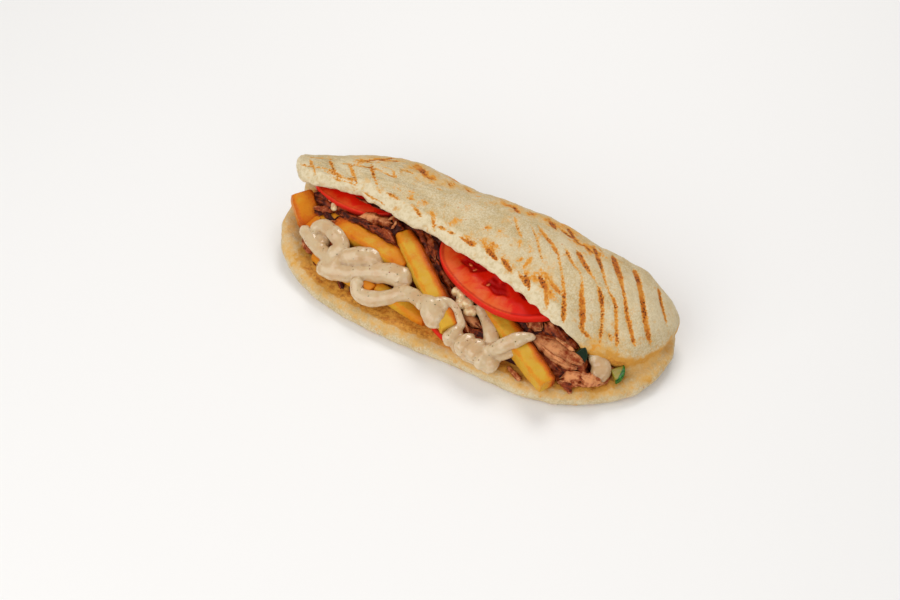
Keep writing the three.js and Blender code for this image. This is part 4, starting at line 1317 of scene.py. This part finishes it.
def herb_flakes(sauce, count):
    """Little flat six-sided flakes, half sunk in the sauce where it faces up."""
    source = random.Random(SEED)
    faces = [face for face in sauce.data.polygons if face.normal.z > 0.35]
    sides = 6
    rings = ((-0.15, 0.8), (0.16, 1.0), (0.26, 0.6))       # how high each ring lies, and its reach
    vertices, polygons, kinds = [], [], []
    for face in source.sample(faces, count):
        across = face.normal.orthogonal().normalized()
        beside = face.normal.cross(across)
        size = source.uniform(0.22, 0.5) * MM
        spin = source.uniform(0, math.pi)
        first = len(vertices)
        for lift, reach in rings:
            for corner in range(sides):
                turn = spin + corner * math.pi / 3 + source.uniform(-0.3, 0.3)
                away = across * math.cos(turn) + beside * math.sin(turn) * 0.65
                vertices.append(face.center + away * size * reach * source.uniform(0.8, 1.1)
                                + face.normal * lift * MM)
        for ring in (first, first + sides):
            for corner in range(sides):
                near, far = ring + corner, ring + (corner + 1) % sides
                polygons.append((near, far, far + sides, near + sides))
        polygons.append(tuple(range(first + 2 * sides, first + 3 * sides)))
        polygons.append(tuple(range(first + sides - 1, first - 1, -1)))
        kinds += [source.random()] * len(rings) * sides
    mesh = bpy.data.meshes.new("herb_flakes")
    mesh.from_pydata(vertices, [], polygons)
    piece = new_object("herb_flakes", mesh)
    write_field(piece, "kind", kinds)
    return piece


class SANDWICH_OT_sauce(bpy.types.Operator):
    """Models the ropes of sauce and the herbs in it"""

    bl_idname = "sandwich.sauce"
    bl_label = "Sauce"

    def execute(self, context):
        settings = context.scene.sandwich_sauce
        material = sauce_material(settings)
        main = poured_sauce("sauce_ropes", ROPES, settings)
        finish_piece(main, material, "sauce", "sauce")
        drop = poured_sauce("sauce_drop", [END_ROPE], settings)
        write_field(drop, "thin", smoothstep(26, 15, places(drop)[:, 2]))
        finish_piece(drop, material, "sauce", "sauce_end")
        finish_piece(herb_flakes(main, 110), flake_material(settings), "sauce")
        return {"FINISHED"}


# ------------------------------------------------------------------ meat

class MeatSettings(bpy.types.PropertyGroup):
    face: length("Face size", "Size of the faces of the core's skin", 1.1, min=0.5 * MM)
    torn: length("Torn", "Height of the core's lumps", 2.2)
    shred: length("Shred", "Height of the core's small shreds", 0.8)
    light: colour("Light", "Colour of the paler meat", 216, 146, 94)
    middle: colour("Middle", "Colour of most of the meat", 142, 56, 18)
    dark: colour("Dark", "Colour of the browned and shaded meat", 60, 16, 6)


def strip_of_meat(source, path, width, thickness, tone):
    """One torn slice of meat along a path, as its vertices, fibre coordinates and paleness."""
    line = smooth_line(np.reshape(path, (-1, 3)), 0.5)
    travelled = distance_along(line)
    span = travelled[-1]
    t = np.linspace(0, 1, STRIP_ROWS)
    middle = np.stack([np.interp(t * span, travelled, column) for column in line.T], 1)
    forward = np.gradient(middle, axis=0)
    forward /= np.linalg.norm(forward, axis=1)[:, None]
    lean = source.uniform(-0.45, 0.45)
    over = np.array((0.25 * math.sin(lean), -0.55 + 0.3 * lean, 0.83))
    beside = np.cross(over, forward)
    beside /= np.linalg.norm(beside, axis=1)[:, None]
    over = np.cross(forward, beside)
    phases = source.uniform(0, 2 * math.pi, 8)
    around = np.linspace(0, 2 * math.pi, STRIP_SIDES, endpoint=False)[None, :]
    t = t[:, None]
    u, v = (np.sign(wave) * np.abs(wave) ** 0.8 for wave in (np.cos(around), np.sin(around)))
    taper = np.maximum(0.1, 1 - np.abs(2 * t - 1) ** 5) ** 0.5
    taper = taper * (1 + 0.16 * np.sin(6 * t + phases[0]) + 0.09 * np.sin(15 * t + phases[1]))
    taper = taper * (1 + 0.06 * source.uniform(-1, 1, (STRIP_ROWS, 1)))
    curl = source.uniform(-0.1, 0.32) * width
    ridges = 0.2 * np.sin(4 * u + phases[2] + 3 * t) + 0.1 * np.sin(9 * u + phases[3] - 7 * t)
    across = u * width / 2 * taper
    lift = (v * thickness / 2 * taper + ridges * (v > 0) * min(1.2, thickness / 3) - curl * (u * taper) ** 2
            + 0.4 * curl)
    frayed = np.sign(t - 0.5) * np.abs(2 * t - 1) ** 4 * 0.22 * width
    frayed = frayed * (np.sin(5 * u + phases[4]) + 0.6 * np.sin(11 * u + phases[5]))
    skin = middle[:, None] + sum(amount[..., None] * direction[:, None] for amount, direction in
                                 ((across, beside), (lift, over), (frayed, forward)))
    sideways = (u * width / 2 + 3 * (v < 0)) * 0.4
    fibres = np.stack(np.broadcast_arrays(t * span * 0.13, sideways, phases[6] * 9), -1)
    # Brown towards the edges, and darker on the underside as painted shade.
    browned_and_shaded = 0.18 * np.abs(u * np.ones_like(t)) ** 3 + 0.25 * (v < 0)
    tones = tone - browned_and_shaded + 0.12 * np.sin(4 * t + phases[7])
    return skin.reshape(-1, 3), fibres.reshape(-1, 3), tones.ravel()


def filler_path(source, reach_x, reach_rise, reach_heading):
    """Where one smaller strip lies on the slope of the filling."""
    x, rise, heading = source.uniform(*reach_x), source.uniform(*reach_rise), source.uniform(*reach_heading)
    middle = np.array((x, lip(x) + along(FOOT, x) + rise,
                       FLAP_THICKNESS + 1 + SLOPE * min(rise, 33) + source.uniform(-1.5, 0.8)))
    half = source.uniform(5, 10) * np.array((math.cos(heading), math.sin(heading), SLOPE * math.sin(heading)))
    path = [middle - half, middle + (0, 0, source.uniform(0, 1.5)), middle + half]
    return np.minimum(path, (np.inf, np.inf, STRIP_CEILING))


def strip_faces(first):
    """The faces of one strip, whose vertices start at a number."""
    faces = []
    last = first + (STRIP_ROWS - 1) * STRIP_SIDES
    for row in range(first, last, STRIP_SIDES):
        for step in range(STRIP_SIDES):
            a, b = row + step, row + (step + 1) % STRIP_SIDES
            faces.append((a, a + STRIP_SIDES, b + STRIP_SIDES, b))
    faces.append(tuple(range(first, first + STRIP_SIDES)))
    faces.append(tuple(range(last + STRIP_SIDES - 1, last - 1, -1)))
    return faces


def meat_strips():
    """All the torn strips as one mesh."""
    source = np.random.default_rng(SEED)
    strips = list(STRIPS)
    for reach_x, reach_rise, reach_heading, count, pale in STRIP_AREAS:
        for _ in range(count):
            path = filler_path(source, reach_x, reach_rise, reach_heading)
            width = source.uniform(3, 6.5)
            thickness = source.uniform(2, 3.4)
            strips.append((path, width, thickness, pale + source.uniform(-0.25, 0.25)))
    skins, fibres, tones = zip(*[strip_of_meat(source, *strip) for strip in strips])
    faces = [face for number in range(len(strips)) for face in strip_faces(number * STRIP_ROWS * STRIP_SIDES)]
    mesh = bpy.data.meshes.new("strips")
    mesh.from_pydata((MM * np.concatenate(skins)).tolist(), [], faces)
    piece = new_object("strips", mesh)
    write_field(piece, "tone", np.concatenate(tones))
    write_field(piece, "fibre", np.concatenate(fibres))
    edit_all(piece, bpy.ops.mesh.normals_make_consistent, inside=False)
    return piece


def meat_core(settings):
    """The rough meat under the strips, with its corner drawn in at the open end."""
    core = copy_of("meat", "meat_core")
    remesh(core, settings.face)
    relax(core, 2)
    roughen(core, "Torn", 6 * MM, settings.torn)
    roughen(core, "Shreds", 2 * MM, settings.shred)
    points = places(core)
    stray = smoothstep(-90, -102, points[:, 0]) * smoothstep(-4, -12, points[:, 1])
    points += stray[:, None] * (4, 4, -1.5)
    move_to(core, points)
    # The core shows in the gaps between the strips and is painted dark there as painted shade, less so
    # towards the closed end.
    write_field(core, "tone", 0.02 + 0.4 * smoothstep(40, 70, points[:, 0]))
    write_field(core, "fibre", points * (0.06, 0.42, 0.42))
    return core


def meat_material(settings):
    """Roast meat with fibres along each strip, brown in patches, with painted shade in its hollows, on its
    core and under its strips.
    """
    def build(graph):
        fibres = graph.noise(2.6, 5, 0.68, vector=graph.field("fibre", "Vector"))
        patches = graph.noise(300, 4, 0.65)
        level = graph.swayed(graph.swayed(graph.field("tone"), 1.0, fibres), 1.7, patches)
        # Painted shade: the meat is darkened in its hollows.
        level = graph.math("MULTIPLY_ADD", graph.field("hollow"), -1.1, graph.math("SUBTRACT", level, 0.13))
        browned_and_shaded = graph.fade(settings.dark, settings.middle, level, 0.0, 0.55)
        return {
            "Base Color": graph.fade(browned_and_shaded, settings.light, level, 0.45, 1.25),
            "Roughness": graph.ramp(patches, 0.3, 0.7, 0.24, 0.46),
            "Normal": graph.bump(fibres, 0.6, 0.6),
        }

    return new_material("Roast meat", build, specular=0.14, glow=(0.08, (1.0, 0.4, 0.2), 2))


class SANDWICH_OT_meat(bpy.types.Operator):
    """Models the meat: a rough core with torn strips over it"""

    bl_idname = "sandwich.meat"
    bl_label = "Meat"

    def execute(self, context):
        settings = context.scene.sandwich_meat
        piece = join("sliced_meat", [meat_core(settings), meat_strips()])
        write_field(piece, "hollow", np.clip(hollows(piece, 3), -0.5, 0.5))
        finish_piece(piece, meat_material(settings), "meat", "meat")
        return {"FINISHED"}


# ------------------------------------------------------------------ stage

class StageSettings(bpy.types.PropertyGroup):
    azimuth: angle("Azimuth", "The camera's direction round the sandwich", 26.3)
    elevation: angle("Elevation", "The camera's height above the table", 51.0)
    distance: length("Distance", "From the camera to the sandwich", 800)
    lens: FloatProperty(name="Lens", description="Focal length in millimetres", default=55.8)
    aim: FloatVectorProperty(name="Aim", description="The point the camera looks at",
                             default=(-0.0013, -0.022, 0.025), subtype="TRANSLATION", unit="LENGTH")
    room: FloatProperty(name="Room light", description="How bright the white room is", default=0.48)
    floor: FloatVectorProperty(name="Floor", description="Colour of the floor", subtype="COLOR",
                               default=(0.9, 0.89, 0.88))


# Each soft light: its name, place, size, energy and colour.
LIGHTS = [
    ("Key", (-0.1, 0.55, 1.0), 0.5, 4.5, (1.0, 0.98, 0.95)),
    ("Fill", (-0.35, -0.9, 0.75), 1.2, 7.6, (1.0, 0.99, 0.97)),
    ("Side", (0.8, -0.6, 0.45), 0.6, 1.5, (1.0, 0.99, 0.97)),
]


def area_light(name, place, size, energy, tint):
    """A square soft light that faces the sandwich."""
    light = bpy.data.lights.new(name, "AREA")
    light.size = size
    light.energy = energy
    light.color = tint
    holder = new_object(name, light)
    holder.location = place
    holder.rotation_euler = (-Vector(place)).to_track_quat("-Z", "Y").to_euler()


class SANDWICH_OT_stage(bpy.types.Operator):
    """Adds a plain floor, soft lights and the camera"""

    bl_idname = "sandwich.stage"
    bl_label = "Stage"

    def execute(self, context):
        settings = context.scene.sandwich_stage
        scene = context.scene
        bpy.ops.object.select_all(action="DESELECT")
        bpy.ops.mesh.primitive_plane_add(size=6)
        floor = context.object
        floor.name = "floor"
        paint = new_material("Floor", lambda graph: {"Base Color": tuple(settings.floor)}, roughness=0.6)
        floor.data.materials.append(paint)
        for light in LIGHTS:
            area_light(*light)
        scene.world = bpy.data.worlds.new("Room")
        scene.world.use_nodes = True
        background = scene.world.node_tree.nodes["Background"]
        background.inputs["Color"].default_value = (1, 1, 1, 1)
        background.inputs["Strength"].default_value = settings.room
        scene.view_settings.view_transform = "Standard"
        camera = bpy.data.cameras.new("Camera")
        camera.lens = settings.lens
        camera.sensor_width = 36
        camera.clip_start = 0.01
        holder = new_object("Camera", camera)
        level = math.cos(settings.elevation)
        back = Vector((math.sin(settings.azimuth) * level, -math.cos(settings.azimuth) * level,
                       math.sin(settings.elevation)))
        holder.location = Vector(settings.aim) + back * settings.distance
        holder.rotation_euler = (-back).to_track_quat("-Z", "Y").to_euler()
        scene.camera = holder
        return {"FINISHED"}


# ------------------------------------------------------------------ add-on

OPERATORS = {
    SANDWICH_OT_bread: BreadSettings,
    SANDWICH_OT_chips: ChipSettings,
    SANDWICH_OT_tomatoes: TomatoSettings,
    SANDWICH_OT_garnish: GarnishSettings,
    SANDWICH_OT_sauce: SauceSettings,
    SANDWICH_OT_meat: MeatSettings,
    SANDWICH_OT_stage: StageSettings,
}


def holder_name(operator):
    """The name under which the scene keeps an operator's settings."""
    return operator.bl_idname.replace(".", "_")


class SANDWICH_PT_panel(bpy.types.Panel):
    """Lists the sandwich's pieces and settings"""

    bl_label = "Doner kebab sandwich"
    bl_space_type = "VIEW_3D"
    bl_region_type = "UI"
    bl_category = "Sandwich"

    def draw(self, context):
        for operator in OPERATORS:
            box = self.layout.box()
            box.operator(operator.bl_idname)
            settings = getattr(context.scene, holder_name(operator))
            for label in settings.bl_rna.properties.keys():
                if label not in ("rna_type", "name"):
                    box.prop(settings, label)


CLASSES = (*OPERATORS.values(), *OPERATORS, SANDWICH_PT_panel)


def register():
    for each in CLASSES:
        bpy.utils.register_class(each)
    for operator, settings in OPERATORS.items():
        setattr(bpy.types.Scene, holder_name(operator), PointerProperty(type=settings))


def unregister():
    for operator in OPERATORS:
        delattr(bpy.types.Scene, holder_name(operator))
    for each in reversed(CLASSES):
        bpy.utils.unregister_class(each)


def main():
    register()
    for operator in OPERATORS:
        group, name = operator.bl_idname.split(".")
        getattr(getattr(bpy.ops, group), name)()
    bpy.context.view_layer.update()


if __name__ == "__main__":
    main()
